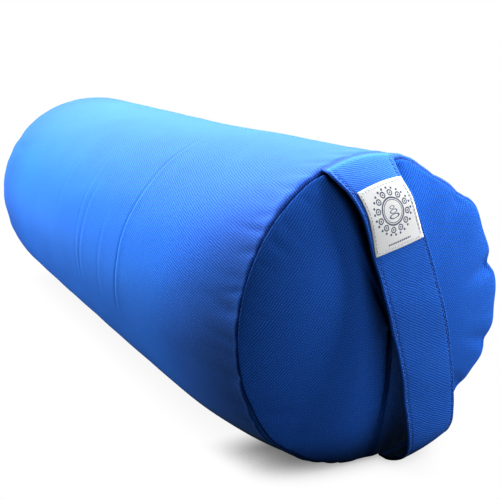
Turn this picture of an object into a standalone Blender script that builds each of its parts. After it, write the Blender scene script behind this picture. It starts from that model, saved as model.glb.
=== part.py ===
"""Round bolster pillow: a filled inner cushion in a zipped twill cover with a handle on one end.

Frame: metres, +Z up, the bolster lies along X with its handle end at +X ("front"). The origin
is the centre of the flattened underside, on the floor. Sizes are in millimetres and become
metres where vertices are made. Angles round the bolster are in degrees from +Y towards +Z.
"""
import math

import bmesh
import bpy
from mathutils import Vector

for old in list(bpy.data.objects):
    bpy.data.objects.remove(old, do_unlink=True)

MM = 0.001

# ---- bolster ----------------------------------------------------------------------------------
LENGTH = 618.0                # seam to seam
R_REAR = 115.0                # barrel radius at the rear end
R_FRONT = 118.2               # barrel radius at the handle end, where it is packed fuller
BELLY = 1.6                   # extra radius half way along
REAR_ROUND_LENGTH = 56.0      # rear shoulder: length along X and drop in radius
REAR_ROUND_DROP = 13.6
FRONT_ROUND_LENGTH = 5.0      # front shoulder
FRONT_ROUND_DROP = 2.7
DOME_FRONT = 26.0             # rise of the end panels over their seams
DOME_REAR = 20.0
DOME_POWER = 0.8
SIDES = 36                    # facets round the barrel

# flat that the bolster's weight presses into its underside
SAG = 7.7
FLAT_X = (-270.0, 205.0)
FLAT_HALF_WIDTH = 38.8
FLAT_LIFT = 2.0               # how far the underside leaves the floor beyond the flat
FLAT_LIFT_LENGTH = 27.0       # length over which it does so

# fuller upper side towards the handle
CROWN_HEIGHT = 5.2
CROWN_X = 185.0
CROWN_SPREAD_X = 105.0
CROWN_ANGLE = 75.0
CROWN_SPREAD_ANGLE = 35.0
CROWN_FADE_X = 255.0          # from here the crown fades out to the front seam

# The handle end is a little out of line, as sewn cloth is. Waves: order, cosine, sine.
OUTLINE_WAVES = ((2, -0.0036, -0.0038), (3, 0.0058, -0.0017), (4, 0.0042, -0.0012))  # of radius
SEAM_WAVES = ((1, -2.6, -2.0), (2, 4.9, -0.2))                                       # mm along X
FRONT_SHIFT_Y = 7.5           # outline centre, off the barrel's axis
FRONT_SHIFT_Z = 8.5
SHIFT_START = 170.0           # X where the outline starts to move off the axis
SEAM_START = 215.0            # X where the seam's wander starts

# ---- cloth layers -----------------------------------------------------------------------------
CLOTH = 1.2                   # cover twill with its facing
LINER_CLOTH = 0.8
GAP = 0.3                     # clearance between layers
LINER_DEPTH = CLOTH + GAP     # depths are measured in from the cover's outer face
FILL_DEPTH = LINER_DEPTH + LINER_CLOTH + GAP
SEAM_ALLOWANCE = 9.0
SEAM_SPACE = 3.0              # room between the turned-in edge and the end panel
TURN_INSET = 0.8              # inner corner of the turned-in edge, inside the seam radius
PANEL_INSET = 2.4             # end panel's rim, inside the seam radius
PANEL_LIFT = 3.3              # the handle's end passes under the panel's rim where it is flattened
OVERLOCK_CLEARANCE = 0.35     # thread ring to the cloth on either side of it
OVERLOCK_INNER = -0.4         # ring's inner and outer radius, from the raw edge
OVERLOCK_OUTER = 2.4
LINER_LOWER_DOME = 6.0        # the inner cushion's end rises this much less than the cover's
FILL_END_INSET = 1.4          # filling behind the liner's end face, along X
FILL_RIM_INSET = 0.4          # and inside the face's rim
CORE_RADIUS = 60.0            # the rim inset and the zip recess leave everything inside this

# places along X of the barrel's rings, and share of the radius of the end panels' rings
BARREL_X = (-309.0, -307.5, -304.0, -297.0, -285.0, -270.0, -253.0, -245.0, -130.0, 0.0, 130.0,
            190.0, 205.0, 232.0, 256.0, 278.0, 294.0, 304.0, 307.5, 309.0)
PANEL_RINGS = (1.0, 0.93, 0.8, 0.62, 0.42, 0.2, 0.0)
LINER_RINGS = (0.66, 0.4, 0.18, 0.0)

# ---- zip, lengthwise in the barrel, low on the +Y side ----------------------------------------
# along: from its rear end; across: + is the upper side; height: out of the barrel
ZIP_ANGLE = 340.0
ZIP_X = (-245.0, 205.0)
STRAIGHT_ANGLES = (14.0, 32.0)   # off the zip: barrel fully straightened, not at all
STRAIGHT_FADE = 40.0             # length of the straightening's fade in front of the zip
SLIT_WIDTH = 10.5
SLIT_REACH = 9.0
TAPE_ACROSS = (0.9, 14.5)
TAPE_OVERRUN = 6.0
TAPE_DEPTH = 2.1
TAPE_THICK = 0.5
COIL_ALONG = (5.0, 445.0)
COIL_ACROSS = (0.8, 3.1)
COIL_HEIGHT = (-1.7, 0.3)
COIL_BEVEL = 0.35
TOPSTITCH_ACROSS = (6.7, 7.6)
TOPSTITCH_OVERRUN = 3.0
TOPSTITCH_TOP = 0.7
TOPSTITCH_THICK = 0.35
STOPS = (("rear", 1.6, 4.6), ("front", 445.4, 448.2))   # name, ends along the zip
STOP_HALF_WIDTH = 3.2
STOP_HEIGHT = (-1.9, 0.5)
STOP_BEVEL = 0.25
CARE_ALONG = (40.0, 66.0)
CARE_ACROSS = (5.0, 19.0)
CARE_TOP = -3.2
CARE_THICK = 0.3

ZIP_RECESS = 3.6                 # how far the inner cushion gives way behind the zip
RECESS_ANGLES = (10.0, 19.0)     # off the zip: full recess, none
RECESS_REAR = (35.0, 12.0)       # behind the zip's rear end: recess starts, is full
RECESS_FRONT = (12.0, 30.0)      # in front of its front end: recess is full, ends

SLIDER_REST = 438.5              # slider centre along the zip
SLIDER_LENGTH = 11.0
# one side of the slider's plates, rear to front: along from the slider's centre, across
SLIDER_SIDE = ((-SLIDER_LENGTH / 2, -3.4), (-1.0, -4.3), (3.0, -4.3), (SLIDER_LENGTH / 2, -2.2))
SLIDER_HEIGHT = (0.7, 1.9)       # outer plate
BACK_PLATE_HEIGHT = (-4.5, -3.4)
# parts that join the plates and hold the pull:
# name, ends along from the slider's centre, half width, bottom and top
POST = ("post", 1.5, 4.5, 0.45, -3.9, 1.3)
BAIL = (("bail_front", 3.0, 4.0, 1.0, 1.3, 5.0),
        ("bail_rear", -4.0, -3.0, 1.0, 1.3, 5.0),
        ("bail_top", -4.0, 4.0, 1.0, 4.3, 5.2))

PIVOT_HEIGHT = 3.2
PULL_LENGTH = 24.0
PULL_TILT = math.radians(3.0)    # droop of the pull onto the teeth
PULL_HALF_THICK = 0.6
# one side of the pull, pivot to tip: along from the pivot, across
PULL_SIDE = ((0.6, -2.4), (-6.5, -2.4), (-9.0, -3.3), (2.0 - PULL_LENGTH, -3.3),
             (-PULL_LENGTH, -1.8))
EYE_ALONG = (-5.2, -0.6)
EYE_HALF_WIDTH = 1.5
EYE_REACH = 3.0

# ---- handle: t runs down the chord 0..1, v across it -1..1 towards +Y -------------------------
HANDLE_TOP = 94.2             # angles where its ends are sewn in
HANDLE_BOTTOM = 285.3
HANDLE_OUT = 2.2              # chord's ends, outside the seam radius
HANDLE_WIDTH = 49.0
HANDLE_THICK = 2.4
STRAP_FACE = HANDLE_THICK / 2
HANDLE_FLARE = 0.15           # its upper end spreads where it is pulled over the seam
FLARE_END = 0.075
# t, stand-off from the chord
HANDLE_BOW = ((0.0, 4.5), (0.02, 8.6), (0.07, 14.2), (0.148, 23.4), (0.253, 31.4), (0.354, 40.0),
              (0.467, 46.6), (0.603, 50.0), (0.742, 50.2), (0.847, 46.6), (0.92, 40.5),
              (0.963, 32.0), (0.988, 20.0), (1.0, 8.0))
HANDLE_TWIST_TOP = -1.0       # the sewn ends follow the slant of the seam
HANDLE_TWIST_BOTTOM = 1.5
TWIST_TOP_END = 0.28
TWIST_BOTTOM_START = 0.75
SLOPE_STEP = 0.004            # half the span over which the bow's slope is taken
SLOPE_LIMIT = 1.6
SPAN = (0.085, 0.915)         # free span of the handle between its sewn ends
SPAN_ROWS = 17
V_ACROSS = (-1.0, -0.5, 0.0, 0.5, 1.0)

SEWN_WIDTH = 0.98             # share of the handle's width that its sewn ends take up
# first rows of a sewn end: outer and inner side's place outside the seam radius, then in front
# of the seam
SEWN_ROWS = ((-5.0, -5.0, 0.5, SEAM_SPACE - 1.0),
             (2.8, 0.9, 0.6, SEAM_SPACE - 0.7))
SEWN_OUTER_FLOOR = 0.3        # least height of the two sides above the floor
SEWN_INNER_FLOOR = PANEL_LIFT - 0.4
SEWN_T = (0.006, 0.03, 0.055, SPAN[0] - 0.0025)   # its other rows, from its own end

EDGE_STITCH_V = (0.90, 0.94)
EDGE_STITCH_INSET = 0.004     # short of the free span's ends, in t
EDGE_STITCH_LIFT = (0.3, 0.65)   # bottom and top over the strap's face

LABEL_WIDTH = 40.5
LABEL_HEIGHT = 42.0
LABEL_SLOPE = 0.955           # the label's height along the chord, for its slant
LABEL_AT = 0.178              # label centre, in t
LABEL_SIDE = 0.5              # label centre, off the handle's middle
LABEL_LIFT = (0.35, 0.8)
LABEL_ROWS = 7
LABEL_STITCH_INSET = (0.006, 0.06)    # in from the label's edge, in t and v
LABEL_STITCH_BAND = (0.005, 0.035)    # width of the stitching, in t and v
LABEL_STITCH_LIFT = (1.1, 1.45)


# ---- materials --------------------------------------------------------------------------------
def material(name, colour, roughness, metallic=0.0):
    mat = bpy.data.materials.get(name) or bpy.data.materials.new(name)
    mat.use_nodes = True
    shader = mat.node_tree.nodes["Principled BSDF"]
    shader.inputs["Base Color"].default_value = (*colour, 1.0)
    shader.inputs["Roughness"].default_value = roughness
    shader.inputs["Metallic"].default_value = metallic
    mat.diffuse_color = (*colour, 1.0)
    return mat


TWILL = material("cover_twill", colour=(0.024, 0.135, 0.60), roughness=0.85)
STRAP = material("handle_twill", colour=(0.022, 0.125, 0.58), roughness=0.85)
THREAD = material("sewing_thread", colour=(0.06, 0.17, 0.65), roughness=0.6)
LABEL_CLOTH = material("label_cloth", colour=(0.72, 0.75, 0.80), roughness=0.8)
LABEL_THREAD = material("label_thread", colour=(0.62, 0.65, 0.68), roughness=0.6)
ZIP_TAPE = material("zip_tape", colour=(0.02, 0.08, 0.42), roughness=0.8)
ZIP_COIL = material("zip_coil", colour=(0.03, 0.10, 0.48), roughness=0.4)
ZIP_METAL = material("zip_metal", colour=(0.60, 0.62, 0.65), roughness=0.3, metallic=1.0)
LINER = material("liner_calico", colour=(0.78, 0.74, 0.64), roughness=0.9)
FILL = material("cotton_filling", colour=(0.85, 0.82, 0.75), roughness=0.95)
CARE = material("care_label_satin", colour=(0.86, 0.87, 0.88), roughness=0.5)


# ---- shape of the stuffed bolster -------------------------------------------------------------
HALF = LENGTH / 2
X_FRONT = HALF - FRONT_ROUND_LENGTH       # where the shoulders start
X_REAR = -HALF + REAR_ROUND_LENGTH
SEAM_R_FRONT = R_FRONT - FRONT_ROUND_DROP
SEAM_R_REAR = R_REAR - REAR_ROUND_DROP
# name, direction along X, seam radius, rise of the end panel
ENDS = (("front", 1, SEAM_R_FRONT, DOME_FRONT),
        ("rear", -1, SEAM_R_REAR, DOME_REAR))


def clamp(value, low, high):
    return min(high, max(low, value))


def smooth(start, end, x):
    """Smooth step from 0 at start to 1 at end."""
    s = clamp((x - start) / (end - start), 0.0, 1.0)
    return s * s * (3.0 - 2.0 * s)


def barrel_radius(x):
    """Radius of the stuffed barrel at a place along it, before its end stops being round."""
    if x < X_REAR:
        s = (X_REAR - x) / REAR_ROUND_LENGTH
        return SEAM_R_REAR + REAR_ROUND_DROP * math.sqrt(1.0 - s * s)
    if x > X_FRONT:
        s = (x - X_FRONT) / FRONT_ROUND_LENGTH
        return SEAM_R_FRONT + FRONT_ROUND_DROP * math.sqrt(1.0 - s * s)
    u = (X_FRONT - x) / (X_FRONT - X_REAR)
    return R_FRONT + (R_REAR - R_FRONT) * u + BELLY * 4.0 * u * (1.0 - u)


def zip_line(x):
    """Radius of the straight line the zip follows."""
    u = (x - ZIP_X[0]) / (ZIP_X[1] - ZIP_X[0])
    return barrel_radius(ZIP_X[0]) * (1.0 - u) + barrel_radius(ZIP_X[1]) * u


def angle_between(deg, other):
    return abs((deg - other + 180.0) % 360.0 - 180.0)


def axis_height(x):
    """Height of the barrel's centre: it rests on the floor along its whole length."""
    u = clamp((X_FRONT - x) / (X_FRONT - X_REAR), 0.0, 1.0)
    return R_FRONT + (R_REAR - R_FRONT) * u - SAG


def wave_sum(waves, angle):
    return sum(c * math.cos(k * angle) + s * math.sin(k * angle) for k, c, s in waves)


def crown(x, r, deg):
    """Extra radius of the fuller upper side."""
    along = math.exp(-((x - CROWN_X) / CROWN_SPREAD_X) ** 2)
    around = math.exp(-(angle_between(deg, CROWN_ANGLE) / CROWN_SPREAD_ANGLE) ** 2)
    fade = 1.0 - smooth(CROWN_FADE_X, HALF, x)
    return CROWN_HEIGHT * along * fade * around * min(1.0, r / SEAM_R_FRONT) ** 4


def place(x, r, deg, depth=0.0):
    """Point, in millimetres, x along and r out from the bolster's axis.

    depth is how far under the cover's outer face the layer lies; the floor flattens each layer
    at its own depth.
    """
    angle = math.radians(deg)
    if X_REAR < x < X_FRONT:
        # straighten the barrel under the zip
        near = 1.0 - smooth(*STRAIGHT_ANGLES, angle_between(deg, ZIP_ANGLE))
        near *= smooth(X_REAR, ZIP_X[0], x)
        near *= 1.0 - smooth(ZIP_X[1], ZIP_X[1] + STRAIGHT_FADE, x)
        r += (zip_line(x) - barrel_radius(x)) * near
    r += crown(x, r, deg)

    off_line = clamp((x - SHIFT_START) / (X_FRONT - SHIFT_START), 0.0, 1.0) ** 2
    r *= 1.0 + off_line * wave_sum(OUTLINE_WAVES, angle)
    y = r * math.cos(angle) + off_line * FRONT_SHIFT_Y
    z = r * math.sin(angle) + off_line * FRONT_SHIFT_Z + axis_height(x)

    beyond_flat = max(0.0, FLAT_X[0] - x, x - FLAT_X[1])
    floor = depth + FLAT_LIFT * smooth(0.0, FLAT_LIFT_LENGTH, beyond_flat)
    if z < floor and FLAT_X[0] <= x <= FLAT_X[1]:
        y = clamp(y, -FLAT_HALF_WIDTH, FLAT_HALF_WIDTH)
    wander = smooth(SEAM_START, HALF, x) * min(1.0, r / SEAM_R_FRONT)
    return Vector((x + wave_sum(SEAM_WAVES, angle) * wander, y, max(z, floor)))


# ---- mesh helpers -----------------------------------------------------------------------------
def finish(bm, name, mat, sharp=40.0):
    """Turn a bmesh into a scene object, with edges over sharp degrees kept sharp."""
    bmesh.ops.recalc_face_normals(bm, faces=bm.faces)
    mesh = bpy.data.meshes.new(name)
    bm.to_mesh(mesh)
    bm.free()
    mesh.materials.append(mat)
    mesh.shade_smooth()
    mesh.set_sharp_from_angle(angle=math.radians(sharp))
    ob = bpy.data.objects.new(name, mesh)
    bpy.context.scene.collection.objects.link(ob)
    return ob


def lathe(name, profile, mat):
    """Turn a profile of (x, r, depth) once round the axis and let every point settle.

    A profile that starts and ends on the axis closes there; any other is a ring.
    """
    bm = bmesh.new()
    rows = []
    for x, r, depth in profile:
        count = 1 if r == 0.0 else SIDES
        rows.append([bm.verts.new(place(x, r, 360.0 * k / SIDES, depth) * MM)
                     for k in range(count)])
    stations = [(row, point[0]) for row, point in zip(rows, profile)]
    if len(rows[0]) > 1:
        stations.append(stations[0])
    # the diagonals run the same way on every layer, so that nested layers stay parallel
    for (p, p_x), (q, q_x) in zip(stations, stations[1:]):
        for k in range(SIDES):
            j = (k + 1) % SIDES
            if len(p) == 1:
                bm.faces.new((p[0], q[j], q[k]))
            elif len(q) == 1:
                bm.faces.new((p[k], p[j], q[0]))
            elif q_x > p_x:
                bm.faces.new((p[k], p[j], q[j]))
                bm.faces.new((p[k], q[j], q[k]))
            else:
                bm.faces.new((p[k], p[j], q[k]))
                bm.faces.new((p[j], q[j], q[k]))
    return finish(bm, name, mat)


def slab(name, top, bottom, mat):
    """A thin sheet between two grids of points, with its four edges closed."""
    bm = bmesh.new()
    grids = [[[bm.verts.new(p * MM) for p in row] for row in grid] for grid in (top, bottom)]
    n, m = len(top), len(top[0])
    for g in grids:
        for i in range(n - 1):
            for j in range(m - 1):
                bm.faces.new((g[i][j], g[i + 1][j], g[i + 1][j + 1], g[i][j + 1]))
    upper, lower = grids
    rim = ([(i, 0) for i in range(n)] + [(n - 1, j) for j in range(1, m)]
           + [(i, m - 1) for i in range(n - 2, -1, -1)] + [(0, j) for j in range(m - 2, 0, -1)])
    for (i, j), (k, l) in zip(rim, rim[1:] + rim[:1]):
        bm.faces.new((upper[i][j], upper[k][l], lower[k][l], lower[i][j]))
    return finish(bm, name, mat)


def prism(name, outline, frame, height, mat, bevel=0.0):
    """Extrude an outline of (along, across) points between two heights of a frame."""
    bm = bmesh.new()
    bottom, top = [[bm.verts.new(frame(along, across, h) * MM) for along, across in outline]
                   for h in height]
    bm.faces.new(bottom)
    bm.faces.new(top)
    for k in range(len(outline)):
        j = (k + 1) % len(outline)
        bm.faces.new((bottom[k], bottom[j], top[j], top[k]))
    if bevel:
        bmesh.ops.bevel(bm, geom=list(bm.edges), offset=bevel * MM, segments=1, affect='EDGES')
    return finish(bm, name, mat, sharp=30.0)


def box(along, across):
    """Rectangle from two (start, end) pairs."""
    (a0, a1), (c0, c1) = along, across
    return ((a0, c0), (a1, c0), (a1, c1), (a0, c1))


def mirrored(side, along=0.0):
    """Outline from the points of one side, moved along."""
    half = [(along + a, c) for a, c in side]
    return half + [(a, -c) for a, c in reversed(half)]


def boolean(ob, operation, name, outline, frame, height, mat):
    """Cut or join a hidden prism."""
    tool = prism(name, outline, frame, height, mat)
    tool.hide_render = True
    tool.display_type = 'WIRE'
    modifier = ob.modifiers.new(operation.lower(), 'BOOLEAN')
    modifier.operation = operation
    modifier.solver = 'EXACT'
    modifier.object = tool


def steps(start, end, count):
    return [start + (end - start) * k / (count - 1) for k in range(count)]


# ---- cover ------------------------------------------------------------------------------------
INNER_X = [x for x in BARREL_X if abs(x) < HALF - 3.0]    # rings of the layers inside the cover


def layer(xs, depth):
    """Profile points of the barrel at a depth."""
    return [(x, barrel_radius(x) - depth, depth) for x in xs]


def turned_edge(sign, seam_r):
    """Seam allowance turned in towards the axis, from its outer face round to its inner one."""
    raw = seam_r - SEAM_ALLOWANCE
    inside = sign * (HALF - CLOTH)
    return [(sign * HALF, raw, 0.0), (inside, raw, CLOTH), (inside, seam_r - TURN_INSET, CLOTH)]


def cover_barrel():
    profile = (layer(BARREL_X, 0.0) + turned_edge(1, SEAM_R_FRONT)
               + layer(reversed(INNER_X), CLOTH) + turned_edge(-1, SEAM_R_REAR)[::-1])
    barrel = lathe("cover_barrel_panel", profile, TWILL)
    boolean(barrel, 'DIFFERENCE', "zip_slit_cutter",
            box((0.0, ZIP_LENGTH), (-SLIT_WIDTH / 2, SLIT_WIDTH / 2)),
            zip_point, (-SLIT_REACH, SLIT_REACH), TWILL)


def cover_end_panel(word, sign, seam_r, rise):
    """Domed disc."""
    rim = seam_r - PANEL_INSET
    dome = rise - SEAM_SPACE - CLOTH
    inner = [(sign * (HALF + SEAM_SPACE + dome * (1.0 - s * s) ** DOME_POWER), rim * s, PANEL_LIFT)
             for s in PANEL_RINGS]
    outer = [(x + sign * CLOTH, r, depth) for x, r, depth in reversed(inner)]
    lathe("cover_end_panel_" + word, outer + inner, TWILL)


def seam_overlock(word, sign, seam_r):
    """Overlock thread round the raw edge of the seam allowances."""
    x0 = sign * (HALF + OVERLOCK_CLEARANCE)
    x1 = sign * (HALF + SEAM_SPACE - OVERLOCK_CLEARANCE)
    r0 = seam_r - SEAM_ALLOWANCE + OVERLOCK_INNER
    r1 = seam_r - SEAM_ALLOWANCE + OVERLOCK_OUTER
    lathe("cover_seam_overlock_" + word,
          [(x0, r0, 0.0), (x1, r0, 0.0), (x1, r1, 0.0), (x0, r1, 0.0)], THREAD)


# ---- zip --------------------------------------------------------------------------------------
ZIP_START, ZIP_END = [place(x, barrel_radius(x), ZIP_ANGLE) for x in ZIP_X]
ZIP_LENGTH = (ZIP_END - ZIP_START).length
ZIP_ALONG = (ZIP_END - ZIP_START).normalized()
ZIP_RADIAL = Vector((0.0, math.cos(math.radians(ZIP_ANGLE)), math.sin(math.radians(ZIP_ANGLE))))
ZIP_OUT = (ZIP_RADIAL - ZIP_RADIAL.dot(ZIP_ALONG) * ZIP_ALONG).normalized()
ZIP_ACROSS = ZIP_ALONG.cross(ZIP_OUT).normalized()
FACET_FALL = math.tan(math.radians(180.0 / SIDES))    # fall of the barrel's facets


def zip_point(along, across, height):
    return ZIP_START + ZIP_ALONG * along + ZIP_ACROSS * across + ZIP_OUT * height


def pull_point(along, across, height):
    """Frame of the pull, centred on the pivot and drooping to the rear."""
    return zip_point(SLIDER_REST + along * math.cos(PULL_TILT) - height * math.sin(PULL_TILT),
                     across,
                     PIVOT_HEIGHT + along * math.sin(PULL_TILT) + height * math.cos(PULL_TILT))


def strip(name, along, across, top, thick, mat):
    """Flat strip that follows the barrel's facets to either side of the zip."""
    def grid(height):
        return [[zip_point(a, c, height - abs(c) * FACET_FALL) for c in across] for a in along]

    slab(name, grid(top), grid(top - thick), mat)


def zip_side(word, side):
    """Tape, row of teeth and topstitching on one side of the slit."""
    def to_side(across):
        return [side * c for c in across]

    strip("zip_tape_" + word, (-TAPE_OVERRUN, ZIP_LENGTH + TAPE_OVERRUN), to_side(TAPE_ACROSS),
          -TAPE_DEPTH, TAPE_THICK, ZIP_TAPE)
    prism("zip_coil_" + word, box(COIL_ALONG, to_side(COIL_ACROSS)), zip_point,
          COIL_HEIGHT, ZIP_COIL, COIL_BEVEL)
    strip("zip_topstitch_" + word, (-TOPSTITCH_OVERRUN, ZIP_LENGTH + TOPSTITCH_OVERRUN),
          to_side(TOPSTITCH_ACROSS), TOPSTITCH_TOP, TOPSTITCH_THICK, THREAD)


def zip_stops():
    for word, start, end in STOPS:
        prism("zip_stop_" + word, box((start, end), (-STOP_HALF_WIDTH, STOP_HALF_WIDTH)),
              zip_point, STOP_HEIGHT, ZIP_METAL, STOP_BEVEL)


def zip_slider():
    """Two plates joined by a post between the teeth, and the bail the pull hangs on."""
    outline = mirrored(SLIDER_SIDE, SLIDER_REST)
    slider = prism("zip_slider", outline, zip_point, SLIDER_HEIGHT, ZIP_METAL)

    def join(word, part_outline, height):
        boolean(slider, 'UNION', f"slider_{word}_tool", part_outline, zip_point, height, ZIP_METAL)

    def join_block(word, start, end, half_width, low, high):
        ends = (SLIDER_REST + start, SLIDER_REST + end)
        join(word, box(ends, (-half_width, half_width)), (low, high))

    join_block(*POST)
    join("back_plate", outline, BACK_PLATE_HEIGHT)
    for part in BAIL:
        join_block(*part)


def zip_pull():
    """Flat tab whose eye passes round the slider's bail; its crossbar turns under the arch."""
    pull = prism("zip_pull", mirrored(PULL_SIDE), pull_point,
                 (-PULL_HALF_THICK, PULL_HALF_THICK), ZIP_METAL)
    boolean(pull, 'DIFFERENCE', "pull_eye_cutter",
            box(EYE_ALONG, (-EYE_HALF_WIDTH, EYE_HALF_WIDTH)),
            pull_point, (-EYE_REACH, EYE_REACH), TWILL)


def care_label():
    """Blank label behind the zip's upper tape."""
    strip("care_label", CARE_ALONG, CARE_ACROSS, CARE_TOP, CARE_THICK, CARE)


# ---- inner cushion ----------------------------------------------------------------------------
def recess(ob):
    """Press a layer in behind the zip, keeping it parallel to the cover elsewhere."""
    for vertex in ob.data.vertices:
        p = vertex.co / MM
        height = axis_height(p.x)
        deg = math.degrees(math.atan2(p.z - height, p.y)) % 360.0
        r = math.hypot(p.y, p.z - height)
        if r < CORE_RADIUS:
            continue
        around = 1.0 - smooth(*RECESS_ANGLES, angle_between(deg, ZIP_ANGLE))
        along = smooth(ZIP_X[0] - RECESS_REAR[0], ZIP_X[0] - RECESS_REAR[1], p.x)
        along *= 1.0 - smooth(ZIP_X[1] + RECESS_FRONT[0], ZIP_X[1] + RECESS_FRONT[1], p.x)
        f = (r - ZIP_RECESS * around * along) / r
        vertex.co = Vector((p.x, p.y * f, height + (p.z - height) * f)) * MM


def liner_face(sign, seam_r, rise):
    """(x, r) of the inner cushion's end face, from its rim to its middle."""
    lip = seam_r - SEAM_ALLOWANCE - 2.0
    rim_x = sign * (HALF - 2.2)
    dome = rise - LINER_LOWER_DOME
    return ([(rim_x, seam_r - 4.0), (rim_x, lip), (sign * (HALF + 4.0), lip - 9.0)]
            + [(sign * (HALF + dome * (1.0 - s * s) ** 0.9), seam_r * s) for s in LINER_RINGS])


def liner_barrel():
    profile = layer(INNER_X, LINER_DEPTH) + layer(reversed(INNER_X), LINER_DEPTH + LINER_CLOTH)
    recess(lathe("liner_barrel_panel", profile, LINER))


def liner_end_panel(word, sign, seam_r, rise):
    outer = liner_face(sign, seam_r, rise)
    inner = [(x - sign * LINER_CLOTH, r) for x, r in outer]
    profile = [(x, r, LINER_DEPTH) for x, r in outer[::-1] + inner]
    lathe("liner_end_panel_" + word, profile, LINER)


def fill_face(sign, seam_r, rise):
    """Profile of the filling's end, from its rim to its middle."""
    return [(x - sign * FILL_END_INSET, r if r < CORE_RADIUS else r - FILL_RIM_INSET, FILL_DEPTH)
            for x, r in liner_face(sign, seam_r, rise)]


def filling():
    front, rear = [fill_face(*end[1:]) for end in ENDS]
    profile = front[::-1] + layer(reversed(INNER_X[1:]), FILL_DEPTH) + rear
    recess(lathe("filling", profile, FILL))


# ---- handle -----------------------------------------------------------------------------------
def seam_point(deg, out_by, along, floor):
    """Point out from the front seam's radius and in front of the seam."""
    return place(HALF, SEAM_R_FRONT + out_by, deg, floor) + Vector((along, 0.0, 0.0))


CHORD_TOP, CHORD_BOTTOM = [seam_point(deg, HANDLE_OUT, SEAM_SPACE / 2, SEWN_OUTER_FLOOR)
                           for deg in (HANDLE_TOP, HANDLE_BOTTOM)]
CHORD = (CHORD_BOTTOM - CHORD_TOP).length
CHORD_DOWN = (CHORD_BOTTOM - CHORD_TOP).normalized()
CHORD_OUT = (Vector((1, 0, 0)) - CHORD_DOWN.x * CHORD_DOWN).normalized()   # out of the end
CHORD_ACROSS = CHORD_OUT.cross(CHORD_DOWN).normalized()                    # to +Y


def handle_bow(t):
    """Smooth curve through the points of HANDLE_BOW."""
    last = len(HANDLE_BOW) - 1

    def tangent(i):
        before, after = HANDLE_BOW[max(0, i - 1)], HANDLE_BOW[min(last, i + 1)]
        return (after[1] - before[1]) / (after[0] - before[0])

    i = next(i for i in range(last) if t <= HANDLE_BOW[i + 1][0])
    (t0, v0), (t1, v1) = HANDLE_BOW[i:i + 2]
    w = t1 - t0
    s = (t - t0) / w
    return ((2 * s ** 3 - 3 * s ** 2 + 1) * v0 + (s ** 3 - 2 * s ** 2 + s) * w * tangent(i)
            + (-2 * s ** 3 + 3 * s ** 2) * v1 + (s ** 3 - s ** 2) * w * tangent(i + 1))


def strap_point(t, v, up):
    """Point on the handle, up off its middle layer."""
    bow = handle_bow(t)
    bow += v * HANDLE_TWIST_TOP * (1.0 - smooth(0.0, TWIST_TOP_END, t))
    bow += v * HANDLE_TWIST_BOTTOM * smooth(TWIST_BOTTOM_START, 1.0, t)
    rise = handle_bow(t + SLOPE_STEP) - handle_bow(t - SLOPE_STEP)
    slope = clamp(rise / (2 * SLOPE_STEP * CHORD), -SLOPE_LIMIT, SLOPE_LIMIT)
    lift = up * math.sqrt(1.0 + slope * slope)
    wide = 1.0 + HANDLE_FLARE * (1.0 - smooth(0.0, FLARE_END, t))
    return (CHORD_TOP + CHORD_DOWN * (t * CHORD) + CHORD_OUT * (bow + lift)
            + CHORD_ACROSS * (v * wide * HANDLE_WIDTH / 2))


def strap_piece(name, ts, vs, low, high, mat):
    """Sheet along the handle between two heights off its middle layer."""
    top, bottom = [[[strap_point(t, v, up) for v in vs] for t in ts] for up in (high, low)]
    slab(name, top, bottom, mat)


def handle_strap():
    strap_piece("handle_strap", steps(*SPAN, SPAN_ROWS), V_ACROSS, -STRAP_FACE, STRAP_FACE, STRAP)


def sewn_end(word, deg, ts, turn, flare):
    """The handle's end: a tab between the seam's two cloths, turned out over the end panel.

    turn is the way its angle runs as v grows.
    """
    spread = math.degrees(HANDLE_WIDTH / 2 / SEAM_R_FRONT) * SEWN_WIDTH * (1.0 + flare)
    angles = [deg + turn * v * spread for v in V_ACROSS]
    # in the seam its outer side lies on the barrel's turned-in edge, its inner side on the
    # end panel; the turn over the panel's rim then brings its inner side to face the panel
    outer, inner = [], []
    for outer_r, inner_r, outer_x, inner_x in SEWN_ROWS:
        outer.append([seam_point(a, outer_r, outer_x, SEWN_OUTER_FLOOR) for a in angles])
        inner.append([seam_point(a, inner_r, inner_x, SEWN_INNER_FLOOR) for a in angles])
    for t in ts:
        outer.append([strap_point(t, v, STRAP_FACE) for v in V_ACROSS])
        inner.append([strap_point(t, v, -STRAP_FACE) for v in V_ACROSS])
    slab("handle_sewn_end_" + word, outer, inner, STRAP)


def edge_stitching(word, side):
    ts = steps(SPAN[0] + EDGE_STITCH_INSET, SPAN[1] - EDGE_STITCH_INSET, SPAN_ROWS)
    low, high = [STRAP_FACE + lift for lift in EDGE_STITCH_LIFT]
    strap_piece("handle_edge_stitching_" + word, ts, sorted(side * v for v in EDGE_STITCH_V),
                low, high, THREAD)


# ---- label on the handle ----------------------------------------------------------------------
LABEL_HALF_T = LABEL_HEIGHT / 2 / CHORD * LABEL_SLOPE
LABEL_HALF_V = LABEL_WIDTH / HANDLE_WIDTH
LABEL_V = LABEL_SIDE / (HANDLE_WIDTH / 2)


def handle_label():
    ts = steps(LABEL_AT - LABEL_HALF_T, LABEL_AT + LABEL_HALF_T, LABEL_ROWS)
    vs = (LABEL_V - LABEL_HALF_V, LABEL_V, LABEL_V + LABEL_HALF_V)
    low, high = [STRAP_FACE + lift for lift in LABEL_LIFT]
    strap_piece("handle_label", ts, vs, low, high, LABEL_CLOTH)


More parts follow.
